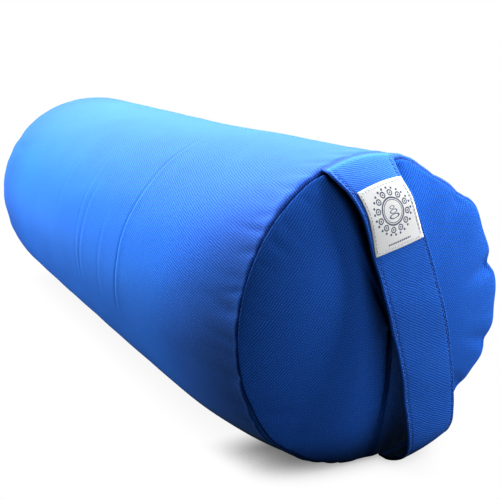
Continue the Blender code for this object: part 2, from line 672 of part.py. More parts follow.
def label_stitching():
    """Picture-frame strip lying on the label."""
    inset_t, inset_v = LABEL_STITCH_INSET
    half_t, half_v = LABEL_HALF_T - inset_t, LABEL_HALF_V - inset_v
    ts = steps(LABEL_AT - half_t, LABEL_AT + half_t, LABEL_ROWS)

    def loop(band_t, band_v):
        """(t, v) once round the frame, a band in from its outside."""
        rows = [clamp(t, ts[0] + band_t, ts[-1] - band_t) for t in ts]
        return ([(t, LABEL_V - half_v + band_v) for t in rows]
                + [(t, LABEL_V + half_v - band_v) for t in reversed(rows)])

    outer, inner = loop(0.0, 0.0), loop(*LABEL_STITCH_BAND)
    low, high = [STRAP_FACE + lift for lift in LABEL_STITCH_LIFT]
    bm = bmesh.new()
    loops = [[bm.verts.new(strap_point(t, v, up) * MM) for t, v in points]
             for points, up in ((outer, low), (outer, high), (inner, high), (inner, low))]
    for a, b in zip(loops, loops[1:] + loops[:1]):
        for k in range(len(outer)):
            j = (k + 1) % len(outer)
            bm.faces.new((a[k], a[j], b[j], b[k]))
    finish(bm, "label_stitching", LABEL_THREAD)


# ---- build ------------------------------------------------------------------------------------
cover_barrel()
liner_barrel()
filling()
for word, sign, seam_r, rise in ENDS:
    cover_end_panel(word, sign, seam_r, rise)
    seam_overlock(word, sign, seam_r)
    liner_end_panel(word, sign, seam_r, rise)

zip_side("upper", 1)
zip_side("lower", -1)
zip_stops()
zip_slider()
zip_pull()
care_label()

handle_strap()
sewn_end("top", HANDLE_TOP, SEWN_T, turn=-1.0, flare=HANDLE_FLARE)
sewn_end("bottom", HANDLE_BOTTOM, [1.0 - t for t in SEWN_T], turn=1.0, flare=0.0)
edge_stitching("left", -1)
edge_stitching("right", 1)
handle_label()
label_stitching()
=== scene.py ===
"""Round bolster: sewn twill cover with domed ends, carry handle with its label, zip, inner cushion.

It lies along X on the floor, z = 0, with its handle end (the front) at +X. Angles round its axis
are in degrees: 0 is +Y and 90 is up, so the zip at 340 is low on the +Y side.
Shapes are in millimetres. The scene, and object coordinates in materials, are in metres.
"""

import math

import bpy
import bmesh
import numpy as np
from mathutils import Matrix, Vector

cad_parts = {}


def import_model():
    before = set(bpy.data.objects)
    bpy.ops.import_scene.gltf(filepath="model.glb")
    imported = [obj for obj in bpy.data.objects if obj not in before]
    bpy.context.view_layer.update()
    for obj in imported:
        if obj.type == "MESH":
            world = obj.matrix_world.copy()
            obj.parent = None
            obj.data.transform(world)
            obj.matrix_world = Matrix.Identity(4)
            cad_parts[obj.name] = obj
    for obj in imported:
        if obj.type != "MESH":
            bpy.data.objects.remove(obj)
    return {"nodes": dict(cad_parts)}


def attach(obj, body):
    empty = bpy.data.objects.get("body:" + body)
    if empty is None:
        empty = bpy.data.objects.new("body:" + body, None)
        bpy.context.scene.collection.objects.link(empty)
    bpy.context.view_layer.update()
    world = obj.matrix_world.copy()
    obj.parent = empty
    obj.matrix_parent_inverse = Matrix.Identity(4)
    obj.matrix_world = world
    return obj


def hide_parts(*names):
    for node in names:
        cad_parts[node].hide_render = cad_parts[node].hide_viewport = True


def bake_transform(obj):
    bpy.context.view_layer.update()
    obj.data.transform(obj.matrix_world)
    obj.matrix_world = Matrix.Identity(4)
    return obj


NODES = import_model()["nodes"]
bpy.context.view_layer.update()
MM = 0.001
FULL_TURN = 2 * math.pi

# =================================================================================================
# shape of the stuffed bolster
# =================================================================================================
LENGTH = 618.0
R_REAR, R_FRONT = 115.0, 118.2      # radius where each end starts to round over
BELLY = 1.6                         # extra radius halfway along
SAG = 7.7                           # how much the underside is flattened
REAR_ROUND = (56.0, 13.6)           # length along X, loss of radius
FRONT_ROUND = (5.0, 2.7)
HALF = LENGTH / 2
X_FRONT, X_REAR = HALF - FRONT_ROUND[0], -HALF + REAR_ROUND[0]
SEAM_R_FRONT, SEAM_R_REAR = R_FRONT - FRONT_ROUND[1], R_REAR - REAR_ROUND[1]
DOME_FRONT, DOME_REAR = 26.0, 20.0  # rise of the inner cushion's ends
DOME_POWER = 0.8

# the front end leaves the circle: shift in Y and Z, then harmonics of its outline and its seam
SHIFT_START = 170.0
FRONT_SHIFT = (7.5, 8.5)
OUTLINE = ((2, -0.0036, -0.0038), (3, 0.0058, -0.0017), (4, 0.0042, -0.0012))  # share of radius
SEAM_START = 215.0
SEAM_WANDER = ((1, -2.6, -2.0), (2, 4.9, -0.2))                                # mm along X

# low swelling on top, towards the front
CROWN_HEIGHT, CROWN_X, CROWN_LENGTH = 5.2, 185.0, 105.0
CROWN_ANGLE, CROWN_SPREAD = 75.0, 35.0

CLOTH = 1.2
SEAM_SPACE = 3.0                    # room for the handle between the seam's two cloths
PANEL_LIFT = 3.3                    # the front panel's least height
ZIP_ANGLE = 340.0
ZIP_X = (-245.0, 205.0)
SLIT_WIDTH = 10.5
ZIP_RECESS = 3.6                    # how far the inner cushion gives way behind the zip

# handle
HANDLE_TOP, HANDLE_BOTTOM = 94.2, 285.3   # angles where its ends meet the seam
TOP_LEAN = 3.2                            # its upper end is sewn in round towards -Y
LOW_LEAN = 1.4                            # its lower end round towards +Y
HANDLE_WIDTH, HANDLE_THICK = 49.0, 2.4
HANDLE_FLARE = 0.15                       # widening of the upper end
LOW_SHARE = 0.84                          # narrowing of the lower end


def smooth(start, end, x):
    share = np.clip((x - start) / (end - start), 0.0, 1.0)
    return share * share * (3.0 - 2.0 * share)


def bell(offset, width):
    return np.exp(-(offset / width) ** 2)


def off_angle(deg, at):
    return (deg - at + 180.0) % 360.0 - 180.0


def rounded_end(past, seam_radius, rounding):
    """Radius of an elliptic rounding, past its start."""
    length, drop = rounding
    return seam_radius + drop * np.sqrt(np.clip(1.0 - (past / length) ** 2, 0.0, None))


def barrel_radius(x):
    x = np.asarray(x, float)
    share = (X_FRONT - x) / (X_FRONT - X_REAR)
    radius = R_FRONT + (R_REAR - R_FRONT) * share + BELLY * 4.0 * share * (1.0 - share)
    rear = rounded_end(X_REAR - x, SEAM_R_REAR, REAR_ROUND)
    front = rounded_end(x - X_FRONT, SEAM_R_FRONT, FRONT_ROUND)
    return np.where(x < X_REAR, rear, np.where(x > X_FRONT, front, radius))


def zip_radius(x):
    """The cover runs straight along the zip."""
    share = (x - ZIP_X[0]) / (ZIP_X[1] - ZIP_X[0])
    return barrel_radius(ZIP_X[0]) * (1.0 - share) + barrel_radius(ZIP_X[1]) * share


def axis_height(x):
    share = np.clip((X_FRONT - x) / (X_FRONT - X_REAR), 0.0, 1.0)
    return R_FRONT + (R_REAR - R_FRONT) * share - SAG


def harmonics(angle, table):
    return sum(cos * np.cos(k * angle) + sin * np.sin(k * angle) for k, cos, sin in table)


def place(x, radius, deg, floor=0.0):
    """Points at x, at a radius and an angle round the bolster's axis, none lower than the floor."""
    given = (np.asarray(value, float) for value in (x, radius, deg, floor))
    x, radius, deg, floor = np.broadcast_arrays(*given)
    angle = np.radians(deg)
    skew = np.clip((x - SHIFT_START) / (X_FRONT - SHIFT_START), 0.0, 1.0) ** 2
    near_zip = 1.0 - smooth(14.0, 32.0, np.abs(off_angle(deg, ZIP_ANGLE)))
    near_zip = near_zip * smooth(X_REAR, ZIP_X[0], x) * (1.0 - smooth(ZIP_X[1], ZIP_X[1] + 40.0, x))
    near_zip = np.where((x > X_REAR) & (x < X_FRONT), near_zip, 0.0)
    radius = radius + (zip_radius(x) - barrel_radius(np.clip(x, -HALF, HALF))) * near_zip
    crown = CROWN_HEIGHT * bell(x - CROWN_X, CROWN_LENGTH) * (1.0 - smooth(255.0, HALF, x))
    crown = crown * bell(off_angle(deg, CROWN_ANGLE), CROWN_SPREAD)
    radius = radius + crown * np.minimum(1.0, radius / SEAM_R_FRONT) ** 4
    radius = radius * (1.0 + skew * harmonics(angle, OUTLINE))
    y = radius * np.cos(angle) + skew * FRONT_SHIFT[0]
    z = radius * np.sin(angle) + skew * FRONT_SHIFT[1] + axis_height(x)
    over = smooth(SEAM_START, HALF, x) * np.minimum(1.0, radius / SEAM_R_FRONT)
    return np.stack([x + harmonics(angle, SEAM_WANDER) * over, y, np.maximum(z, floor)], -1)


# =================================================================================================
# how the cloth lies: puckers, creases, lobes
# =================================================================================================
rng = np.random.default_rng(7)

# lobes of the handle end, where the cloth is gathered into its seam: angle, height, width (degrees)
LOBES = (
    (61.0, -2.6, 9.0), (47.0, -1.0, 2.6), (36.5, 4.6, 6.6), (14.0, -5.2, 3.3), (3.5, 0.8, 4.6),
    (348.5, 2.0, 4.2), (341.5, -1.8, 2.4), (334.5, 2.2, 4.4), (319.5, -2.6, 3.2), (80.5, -2.4, 2.4),
    (74.0, 0.8, 5.0), (117.0, 0.5, 4.0), (205.0, -0.7, 5.0), (222.0, 0.9, 6.0), (236.0, -0.9, 3.5))

# slack folds down the +Y side: x, lean (mm per degree), depth, width
SLACK = (
    (-232.0, 0.42, 0.62, 5.5), (-171.0, -0.30, 0.50, 4.6), (-118.0, 0.55, 0.70, 6.2),
    (-37.0, -0.46, 0.55, 5.0), (44.0, 0.36, 0.66, 5.8), (102.0, -0.52, 0.52, 4.8),
    (171.0, 0.40, 0.72, 6.0), (236.0, -0.34, 0.60, 5.2))

# faint folds across the barrel: x, lean (mm per degree) about an angle, depth, width, lip,
# and the angles where each starts, is full, begins to fade and ends
CREASES = (
    (69.0, -0.05, 170.0, 0.26, 2.6, 0.10, (148.0, 165.0, 184.0, 200.0)),
    (20.0, -0.10, 160.0, 0.34, 2.4, 0.16, (138.0, 158.0, 180.0, 202.0)),
    (5.0, 0.06, 160.0, 0.28, 2.2, 0.12, (126.0, 146.0, 188.0, 206.0)),
    (-60.0, 0.0, 0.0, 0.22, 3.2, 0.10, (132.0, 146.0, 160.0, 178.0)),
    (-96.0, 0.08, 0.0, 0.35, 2.6, 0.15, (20.0, 44.0, 70.0, 88.0)),
    (52.0, -0.12, 0.0, 0.40, 2.4, 0.18, (2.0, 22.0, 48.0, 66.0)))

# dips of the front panel below the lobes: angle, height, width (degrees)
PANEL_DIPS = ((14.0, -2.6, 3.6), (341.5, -1.6, 3.0), (319.5, -1.8, 3.6), (47.0, -0.8, 3.0),
              (80.5, -1.8, 3.0))


def lobes(deg):
    return sum(height * bell(off_angle(deg, at), width) for at, height, width in LOBES)


def pucker_set(count, depth, width, reach, slant):
    """Random gathers at a seam: angle, depth, half width in degrees, reach in mm, degrees per mm."""
    angles = (np.arange(count) + rng.uniform(-0.38, 0.38, count)) * 360.0 / count
    return list(zip(angles, rng.uniform(*depth, count), rng.uniform(*width, count),
                    rng.uniform(*reach, count), rng.uniform(-slant, slant, count)))


def wave_set(count, turns, frequency, height):
    """Random waves: number round the axis, radians per mm along X, two phases, height."""
    return [(rng.integers(*turns), rng.uniform(*frequency), rng.uniform(0, FULL_TURN),
             rng.uniform(0, FULL_TURN), rng.uniform(*height)) for _ in range(count)]


FRONT_PUCKERS = pucker_set(44, depth=(0.12, 0.62), width=(0.9, 2.1), reach=(9.0, 30.0), slant=0.10)
FRONT_LONG = pucker_set(13, depth=(0.20, 0.55), width=(2.0, 4.2), reach=(34.0, 72.0), slant=0.12)
REAR_LONG = pucker_set(11, depth=(0.25, 0.6), width=(2.4, 4.6), reach=(40.0, 90.0), slant=0.16)
REAR_PUCKERS = pucker_set(30, depth=(0.10, 0.50), width=(1.2, 2.8), reach=(12.0, 36.0), slant=0.10)
PANEL_PUCKERS = pucker_set(38, depth=(0.10, 0.50), width=(1.0, 2.4), reach=(7.0, 22.0), slant=0.08)
BROAD_WAVES = wave_set(14, turns=(1, 6), frequency=(0.004, 0.03), height=(0.12, 0.32))
FINE_WAVES = wave_set(26, turns=(6, 22), frequency=(0.02, 0.11), height=(0.02, 0.055))


def gathers(deg, away, puckers):
    """Depth of the gathers at a distance from their seam."""
    relief = np.zeros(np.broadcast(deg, away).shape)
    for at, depth, width, reach, slant in puckers:
        fade = bell(away, reach) * (0.35 + 0.65 * smooth(0.0, 5.0, away))
        relief -= depth * fade * bell(off_angle(deg, at) + slant * away, width)
    return relief


def waves(x, deg, table):
    angle = np.radians(deg)
    return sum(height * np.sin(turns * angle + phase) * np.sin(frequency * x + phase_x)
               for turns, frequency, phase, phase_x, height in table)


def ridge(x, at, depth, width, lip):
    """A crease with a raised lip in front of it."""
    return -depth * bell(x - at, width) + lip * bell(x - at - 2.6 * width, 2.2 * width)


def window(deg, start, full, fade, end):
    past = (deg - start) % 360.0
    return smooth(0.0, full - start, past) * (1.0 - smooth(fade - start, end - start, past))


def barrel_relief(x, deg):
    """Height of the cover above its plain stuffed shape."""
    x, deg = np.broadcast_arrays(np.asarray(x, float), np.asarray(deg, float))
    relief = waves(x, deg, BROAD_WAVES) * 0.30 + waves(x, deg, FINE_WAVES) * 0.75
    # the fold pressed in across the barrel, and the fainter ones
    fold_x = 113.0 + 2.4 * np.sin(np.radians(3.1 * (deg - 120.0))) + 0.8 * np.sin(
        np.radians(11.0 * deg))
    fold_x = fold_x - 3.0 * smooth(186.0, 200.0, deg) - 2.5 * (1 - smooth(104.0, 122.0, deg))
    relief = relief + ridge(x, fold_x, 0.62, 1.9, 0.34) * window(deg, 98.0, 124.0, 176.0, 205.0)
    for at, lean, about, depth, width, lip, span in CREASES:
        relief = relief + ridge(x, at + lean * (deg - about), depth, width, lip) * window(deg, *span)
    # gathers at both seams
    from_front = np.clip(HALF - x, 0.0, None)
    from_rear = np.clip(x + HALF, 0.0, None)
    relief = relief + 2.5 * gathers(deg, from_front, FRONT_PUCKERS)
    relief = relief + 1.9 * gathers(deg, from_front, FRONT_LONG) * smooth(0.0, 14.0, from_front)
    relief = relief + 1.8 * gathers(deg, from_rear, REAR_PUCKERS)
    relief = relief + 1.9 * gathers(deg, from_rear, REAR_LONG) * smooth(0.0, 12.0, from_rear)
    # hollow on the -Y side, towards the front
    relief = relief - 3.0 * smooth(205.0, 306.0, x) * window(deg, 125.0, 160.0, 188.0, 214.0)
    plus_y_side = window(deg, 262.0, 300.0, 400.0, 424.0)
    for at, lean, depth, width in SLACK:
        fold_x = at + lean * off_angle(deg, ZIP_ANGLE)
        relief = relief + plus_y_side * ridge(x, fold_x, depth, width, 0.5 * depth)
    # a soft dip beside the handle's upper end, and a swelling at the seam
    relief = relief - 0.55 * bell(off_angle(deg, 101.0), 6.0) * bell(x - 262.0, 22.0)
    relief = relief + 0.9 * bell(off_angle(deg, 88.0), 9.0) * bell(x - 292.0, 16.0)
    reach = np.where(np.abs(off_angle(deg, 36.5)) < 22.0, 30.0, 24.0)
    relief = relief + lobes(deg) * bell(from_front, reach)
    # the lengthwise seam runs on past both ends of the zip
    past = np.maximum(smooth(ZIP_X[1], ZIP_X[1] + 5.0, x),
                      1.0 - smooth(ZIP_X[0] - 5.0, ZIP_X[0], x))
    from_zip = np.abs(off_angle(deg, ZIP_ANGLE)) * 2.04       # mm per degree
    relief = relief + past * (-1.1 * bell(from_zip, 0.9) + 0.35 * bell(from_zip - 3.0, 2.0))
    # beside the zip the cloth lies calm, and is drawn down along its stitches
    beside = smooth(ZIP_X[0] - 8.0, ZIP_X[0], x) * (1.0 - smooth(ZIP_X[1], ZIP_X[1] + 8.0, x))
    calm = 1.0 - np.exp(-(from_zip / 15.0) ** 4)
    stitched = -0.22 * bell(from_zip - 7.2, 0.9)
    return relief * (calm * beside + (1.0 - beside)) + beside * stitched


def panel_relief(share, deg, rim, sign):
    """Height of an end panel, outwards along X, above its plain dome, at a share of its radius."""
    away = (1.0 - share) * rim
    angle = np.radians(deg)
    relief = sum(height * 0.55 * np.sin(3.2 * share * rim * frequency + phase_x)
                 * np.cos(turns * angle + phase) * share
                 for turns, frequency, phase_x, phase, height in BROAD_WAVES[:8])
    relief = relief + gathers(deg * sign, away, PANEL_PUCKERS) * smooth(0.0, 4.0, away)
    if sign > 0:
        for at, height, width in PANEL_DIPS:
            spread = width * (1.0 + 1.2 * (1.0 - share))
            relief = relief + (height * bell(off_angle(deg, at), spread) * bell(away, 26.0)
                               * smooth(0.0, 6.0, away))
        # two soft folds running in from the seam, low on the -Y side
        relief = relief - 1.1 * bell(off_angle(deg, 209.0 + 0.35 * away), 3.4) * bell(
            away - 14.0, 20.0)
        relief = relief - 0.7 * bell(off_angle(deg, 232.0 - 0.25 * away), 3.0) * bell(
            away - 10.0, 14.0)
    return relief


# =================================================================================================
# mesh building
# =================================================================================================
def make(name, points, faces, uv, material):
    """A smooth mesh from points in mm, its faces turned outwards."""
    mesh = bpy.data.meshes.new(name)
    mesh.from_pydata((np.asarray(points, float) * MM).tolist(), [],
                     [list(map(int, face)) for face in faces])
    layer = mesh.uv_layers.new(name="cloth")
    layer.data.foreach_set("uv", np.asarray(uv, np.float32).ravel())
    mesh.materials.append(material)
    mesh.validate()
    mesh.shade_smooth()
    piece = bpy.data.objects.new(name, mesh)
    bpy.context.scene.collection.objects.link(piece)
    work = bmesh.new()
    work.from_mesh(mesh)
    bmesh.ops.recalc_face_normals(work, faces=work.faces)
    work.to_mesh(mesh)
    work.free()
    mesh.update()
    return piece


def stand_for(replaced):
    if replaced:
        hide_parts(*replaced)


def ride_bolster(piece, slot, *replaced):
    """The piece moves with the bolster and stands for the named CAD nodes."""
    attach(piece, "bolster")
    stand_for(replaced)


def quads(rows, cols, wrap_rows=False, wrap_cols=True):
    """Quads over a grid, and the unwrapped rows and columns of their corners."""
    row, col = np.meshgrid(np.arange(rows if wrap_rows else rows - 1),
                           np.arange(cols if wrap_cols else cols - 1), indexing="ij")
    row, col = row.ravel(), col.ravel()
    corner_row = np.stack([row, row + 1, row + 1, row], 1)
    corner_col = np.stack([col, col, col + 1, col + 1], 1)
    return (corner_row % rows) * cols + (corner_col % cols), corner_row, corner_col


def end_caps(rows, cols):
    """One flat face over each end of a tubular grid."""
    return [list(range(cols))[::-1], [(rows - 1) * cols + col for col in range(cols)]]


def end_fans(rows, cols):
    """Triangles from a grid's first and last rows to two points that follow the grid's."""
    faces = []
    last_row = (rows - 1) * cols
    for col in range(cols):
        after = (col + 1) % cols
        faces.append([after, col, rows * cols])
        faces.append([last_row + col, last_row + after, rows * cols + 1])
    return faces


def without_loose(points, faces):
    """Drop the points that no face uses."""
    used = np.zeros(len(points), bool)
    for face in faces:
        used[face] = True
    renumber = np.cumsum(used) - 1
    return points[used], [renumber[face] for face in faces]


def run_along(path):
    """Distance along a path at each of its points."""
    return np.concatenate([[0.0], np.cumsum(np.linalg.norm(np.diff(path, axis=0), axis=-1))])


def tube(path, radius, sides, up, flat=1.0):
    """Points, faces and UVs of a closed tube along a path."""
    count = len(path)
    tangent = np.gradient(path, axis=0)
    tangent /= np.linalg.norm(tangent, axis=1, keepdims=True) + 1e-12
    across = np.cross(tangent, np.broadcast_to(up, path.shape))
    across /= np.linalg.norm(across, axis=1, keepdims=True) + 1e-12
    normal = np.cross(across, tangent)
    angle = np.arange(sides) / sides * FULL_TURN
    ring = (np.cos(angle)[None, :, None] * across[:, None]
            + np.sin(angle)[None, :, None] * normal[:, None] * flat)
    ring = ring * np.broadcast_to(np.asarray(radius, float), (count,))[:, None, None]
    points = np.concatenate([(path[:, None] + ring).reshape(-1, 3), path[:1], path[-1:]])
    sleeve, rows, cols = quads(count, sides)
    run = run_along(path)
    uv = np.stack([run[rows], cols / sides], -1).reshape(-1, 2)
    fan_uv = [[u, v] for u in (0.0, run[-1]) for v in (0.0, 0.1, 0.2)] * sides
    return points, sleeve.tolist() + end_fans(count, sides), np.concatenate([uv, fan_uv])


def join(parts):
    points, faces, uvs, base = [], [], [], 0
    for part_points, part_faces, part_uv in parts:
        points.append(part_points)
        faces += [[index + base for index in face] for face in part_faces]
        uvs.append(part_uv)
        base += len(part_points)
    return np.concatenate(points), faces, np.concatenate(uvs)


def stitches(path, up, length, gap, radius, sink=0.35, lift=0.30):
    """Separate stitches along a path: each one rises out of the cloth and goes back in.

    Returns a joined (points, faces, UVs) and each point's share of the way along.
    """
    up = np.broadcast_to(up, path.shape)
    run = run_along(path)
    total, pitch = run[-1], length + gap
    count = int(total // pitch)
    share = np.linspace(0.0, 1.0, 7)
    height = -sink + (sink + lift) * np.sin(math.pi * np.clip(share, 0.02, 0.98)) ** 0.55
    thickness = radius * (0.55 + 0.45 * np.sin(math.pi * share) ** 0.5)
    parts, where = [], []
    for i in range(count):
        start = i * pitch + gap / 2 + (total - count * pitch) / 2
        at = start + share * length
        middle = np.stack([np.interp(at, run, path[:, axis]) for axis in range(3)], -1)
        out = np.stack([np.interp(at, run, up[:, axis]) for axis in range(3)], -1)
        out /= np.linalg.norm(out, axis=1, keepdims=True)
        part = tube(middle + out * height[:, None], thickness, 6, out, 0.85)
        parts.append(part)
        where.append(np.full(len(part[0]), (at[0] + at[-1]) / 2 / total))
    return join(parts), np.concatenate(where)


# =================================================================================================
# material building
# =================================================================================================
class Value:
    """A shader socket. Arithmetic on it adds Math nodes."""

    def __init__(self, shader, socket):
        self.shader = shader
        self.socket = socket

    def math(self, operation, *others, clamp=False):
        return self.shader.math(operation, self, *others, clamp=clamp)

    def __add__(self, other):
        return self.math("ADD", other)

    def __sub__(self, other):
        return self.math("SUBTRACT", other)

    def __rsub__(self, other):
        return self.shader.math("SUBTRACT", other, self)

    def __mul__(self, other):
        return self.math("MULTIPLY", other)

    def __truediv__(self, other):
        return self.math("DIVIDE", other)

    def times_plus(self, times, plus, clamp=False):
        return self.math("MULTIPLY_ADD", times, plus, clamp=clamp)

    def varied(self, noise, by, clamp=False):
        """Add a noise's departure from a half, times an amount."""
        return (noise - 0.5).times_plus(by, self, clamp)

    def wave(self):
        """From 1 to 0 and back for each unit."""
        return (self * FULL_TURN).math("COSINE").times_plus(0.5, 0.5)

    def rise(self, over, low=0.0, high=1.0):
        """Smooth step from low to high as the value goes over a span."""
        inputs = {0: self, 1: over[0], 2: over[1], 3: low, 4: high}
        return self.shader.add("ShaderNodeMapRange", inputs, interpolation_type="SMOOTHSTEP")

    def fall(self, over, low=0.0):
        return self.rise(over, low=1.0, high=low)

    def scaled(self, factor):
        """A colour times a factor."""
        inputs = {0: self, "Scale": factor}
        return self.shader.add("ShaderNodeVectorMath", inputs, operation="SCALE")


class Shader:
    """Node tree of a material or world."""

    def __init__(self, owner):
        owner.use_nodes = True
        self.owner = owner
        self.tree = owner.node_tree

    def put(self, socket, value):
        if isinstance(value, Value):
            self.tree.links.new(value.socket, socket)
        elif value is not None:
            socket.default_value = value

    def add(self, kind, inputs=(), output=0, **settings):
        """A new node, as the value of one of its outputs."""
        node = self.tree.nodes.new(kind)
        for name, setting in settings.items():
            setattr(node, name, setting)
        for key, value in dict(inputs).items():
            self.put(node.inputs[key], value)
        return Value(self, node.outputs[output])

    def surface(self, inputs):
        """Set the Principled BSDF and return the material."""
        for name, value in inputs.items():
            self.put(self.tree.nodes["Principled BSDF"].inputs[name], value)
        return self.owner

    def math(self, operation, *values, clamp=False):
        return self.add("ShaderNodeMath", enumerate(values), operation=operation, use_clamp=clamp)

    def mix(self, share, first, second):
        first, second = ((*colour, 1.0) if isinstance(colour, tuple) else colour
                         for colour in (first, second))
        return self.add("ShaderNodeMix", {0: share, 6: first, 7: second}, 2, data_type="RGBA")

    def separate(self, vector):
        node = self.tree.nodes.new("ShaderNodeSeparateXYZ")
        self.put(node.inputs[0], vector)
        return [Value(self, socket) for socket in node.outputs]

    def uv(self):
        """Cloth coordinates in mm: the vector, u and v."""
        vector = self.add("ShaderNodeUVMap", uv_map="cloth")
        return vector, *self.separate(vector)[:2]

    def position(self):
        return self.add("ShaderNodeTexCoord", output="Object")

    def noise(self, vector, scale, detail=2.0, rough=0.5, distortion=0.0):
        inputs = {"Vector": vector, "Scale": scale, "Detail": detail, "Roughness": rough,
                  "Distortion": distortion}
        return self.add("ShaderNodeTexNoise", inputs, "Fac")

    def combine(self, x, y, z=0.0):
        return self.add("ShaderNodeCombineXYZ", {0: x, 1: y, 2: z})

    def open_air(self, samples, distance):
        inputs = {"Distance": distance}
        return self.add("ShaderNodeAmbientOcclusion", inputs, "AO", samples=samples)

    def near(self):
        """How much of the weave shows: less far off and where the cloth turns away."""
        distance = self.add("ShaderNodeCameraData", output="View Distance")
        facing = self.add("ShaderNodeLayerWeight", {"Blend": 0.5}, "Facing")
        return distance.fall(over=(0.78, 1.15), low=0.42) * facing.fall(over=(0.55, 0.90), low=0.12)

    def bump(self, height, distance, strength, normal=None):
        inputs = {"Height": height, "Distance": distance, "Strength": strength, "Normal": normal}
        return self.add("ShaderNodeBump", inputs)

    def camera_pick(self, others, camera):
        """One shader for camera rays and another for all the rest."""
        is_camera = self.add("ShaderNodeLightPath", output="Is Camera Ray")
        return self.add("ShaderNodeMixShader", {0: is_camera, 1: others, 2: camera})


def material_shader(name):
    return Shader(bpy.data.materials.new(name))


def tint(colour, factor, plus=0.0):
    return tuple(np.minimum(np.multiply(colour, factor) + plus, 1.0).tolist())


def twill(name, base, angle, pitch, contrast, paint_light, sheen=0.15):
    """Woven twill, its ribs at an angle in degrees from u; the function passed in paints light and
    shade into its colour.
    """
    shader = material_shader(name)
    uv, u, v = shader.uv()
    broad = shader.noise(uv, scale=0.09)
    small = shader.noise(uv, scale=0.42)
    cos, sin = math.cos(math.radians(angle)), math.sin(math.radians(angle))
    across = u.times_plus(-sin, v * cos)
    along = u.times_plus(cos, v * sin)
    # the ribs wander, in mm
    across = across + broad.times_plus(2.6, small * 0.55)
    ribs = across / pitch
    row = ribs.math("FLOOR")
    rib = 1.0 - ribs.wave()                    # crest in the middle of each row
    # each float of yarn is 1.25 ribs long and starts 0.38 of that further on in the next row
    segment = along.times_plus(1.0 / (pitch * 1.25), row * 0.38).wave()
    fuzz = shader.noise(shader.combine(along * 0.55, across * 1.9), scale=1.0, detail=3.0,
                        rough=0.65)
    height = rib.math("POWER", 0.8) * segment.times_plus(0.34, 0.66)
    height = height.varied(fuzz, by=0.75)
    near = shader.near()
    tone = (height - 0.48) * (near * contrast)
    # uneven dye, then slubs in the yarn both ways
    cloud = shader.noise(shader.combine(u, v), scale=0.018, detail=4.0, rough=0.55)
    slub_u = shader.noise(shader.combine(u * 0.05, v * 1.1), scale=1.0)
    slub_v = shader.noise(shader.combine(u * 1.1, v * 0.05), scale=1.0)
    tone = tone.varied(cloud, by=0.22).varied(slub_u, by=0.16).varied(slub_v, by=0.12)
    dark = tint(base, (0.45, 0.50, 0.60))
    light = tint(base, (1.9, 1.55, 1.28))
    share = tone.math("ADD", 0.5, clamp=True)
    # painted shade: the colour is drawn to near black where the cloth faces other cloth closely
    painted_shade_tone = (0.001, 0.003, 0.012)
    lit = shader.open_air(samples=8, distance=0.055).rise(over=(0.22, 0.82), low=0.05)
    # the weave's colour with painted light and shade laid on
    cloth_with_painted_light = paint_light(shader, shader.mix(share, dark, light))
    # the nap stands up most on top and lies flatter underneath and towards the rear
    x, _, z = shader.separate(shader.position())
    nap = z.rise(over=(0.03, 0.135), low=0.22 * sheen, high=sheen)
    nap = nap * x.rise(over=(-0.34, -0.10), low=0.55)
    weave = shader.bump(height, distance=0.00016, strength=near * 0.9)
    return shader.surface({
        "Base Color": shader.mix(lit, painted_shade_tone, cloth_with_painted_light),
        "Roughness": 0.95,
        "Specular IOR Level": 0.06,
        "Sheen Weight": nap,
        "Sheen Roughness": 0.38,
        "Sheen Tint": (0.36, 0.74, 1.0, 1.0),
        "Normal": shader.bump(shader.noise(uv, scale=0.22, detail=3.0), distance=0.00018,
                              strength=0.6, normal=weave)})


def thread(name, base, pitch=0.9, rough=0.55, sheen=0.25):
    """Twisted sewing thread. u runs along it in mm and v round it."""
    shader = material_shader(name)
    uv, u, v = shader.uv()
    twist = u.times_plus(FULL_TURN / pitch, v * FULL_TURN).math("SINE")
    share = twist.times_plus(0.28, 0.5).varied(shader.noise(uv, scale=2.2), by=0.35, clamp=True)
    return shader.surface({
        "Base Color": shader.mix(share, tint(base, 0.6), tint(base, 1.35, plus=0.01)),
        "Roughness": rough,
        "Sheen Weight": sheen,
        "Normal": shader.bump(twist, distance=0.00008, strength=0.8)})


def plain_weave(name, base, pitch, contrast, rough, depth, near=False, spots=0.0):
    """Shader of two yarns, over and under. Pitch and bump depth are in mm."""
    shader = material_shader(name)
    uv, u, v = shader.uv()
    frequency = FULL_TURN / (2 * pitch)
    over_u = (u * frequency).math("SINE")
    over_v = (v * frequency).math("SINE")
    height = (over_u * over_v).times_plus(0.5, 0.5)
    height = height.varied(shader.noise(uv, scale=1.1 / pitch, detail=3.0, rough=0.6), by=0.9)
    shown = shader.near() if near else 1.0
    tone = (height - 0.5) * shader.math("MULTIPLY", shown, contrast)
    tone = tone.varied(shader.noise(uv, scale=0.04, detail=3.0), by=0.25)
    if spots:
        speck = shader.noise(uv, scale=0.8, detail=1.0).math("GREATER_THAN", 0.69)
        tone = speck.times_plus(-spots, tone)
    share = tone.math("ADD", 0.5, clamp=True)
    shader.surface({
        "Base Color": shader.mix(share, tint(base, 0.72), tint(base, 1.16)),
        "Roughness": rough,
        "Specular IOR Level": 0.25,
        "Sheen Weight": 0.05,
        "Normal": shader.bump(height, distance=MM * depth, strength=0.8)})
    return shader


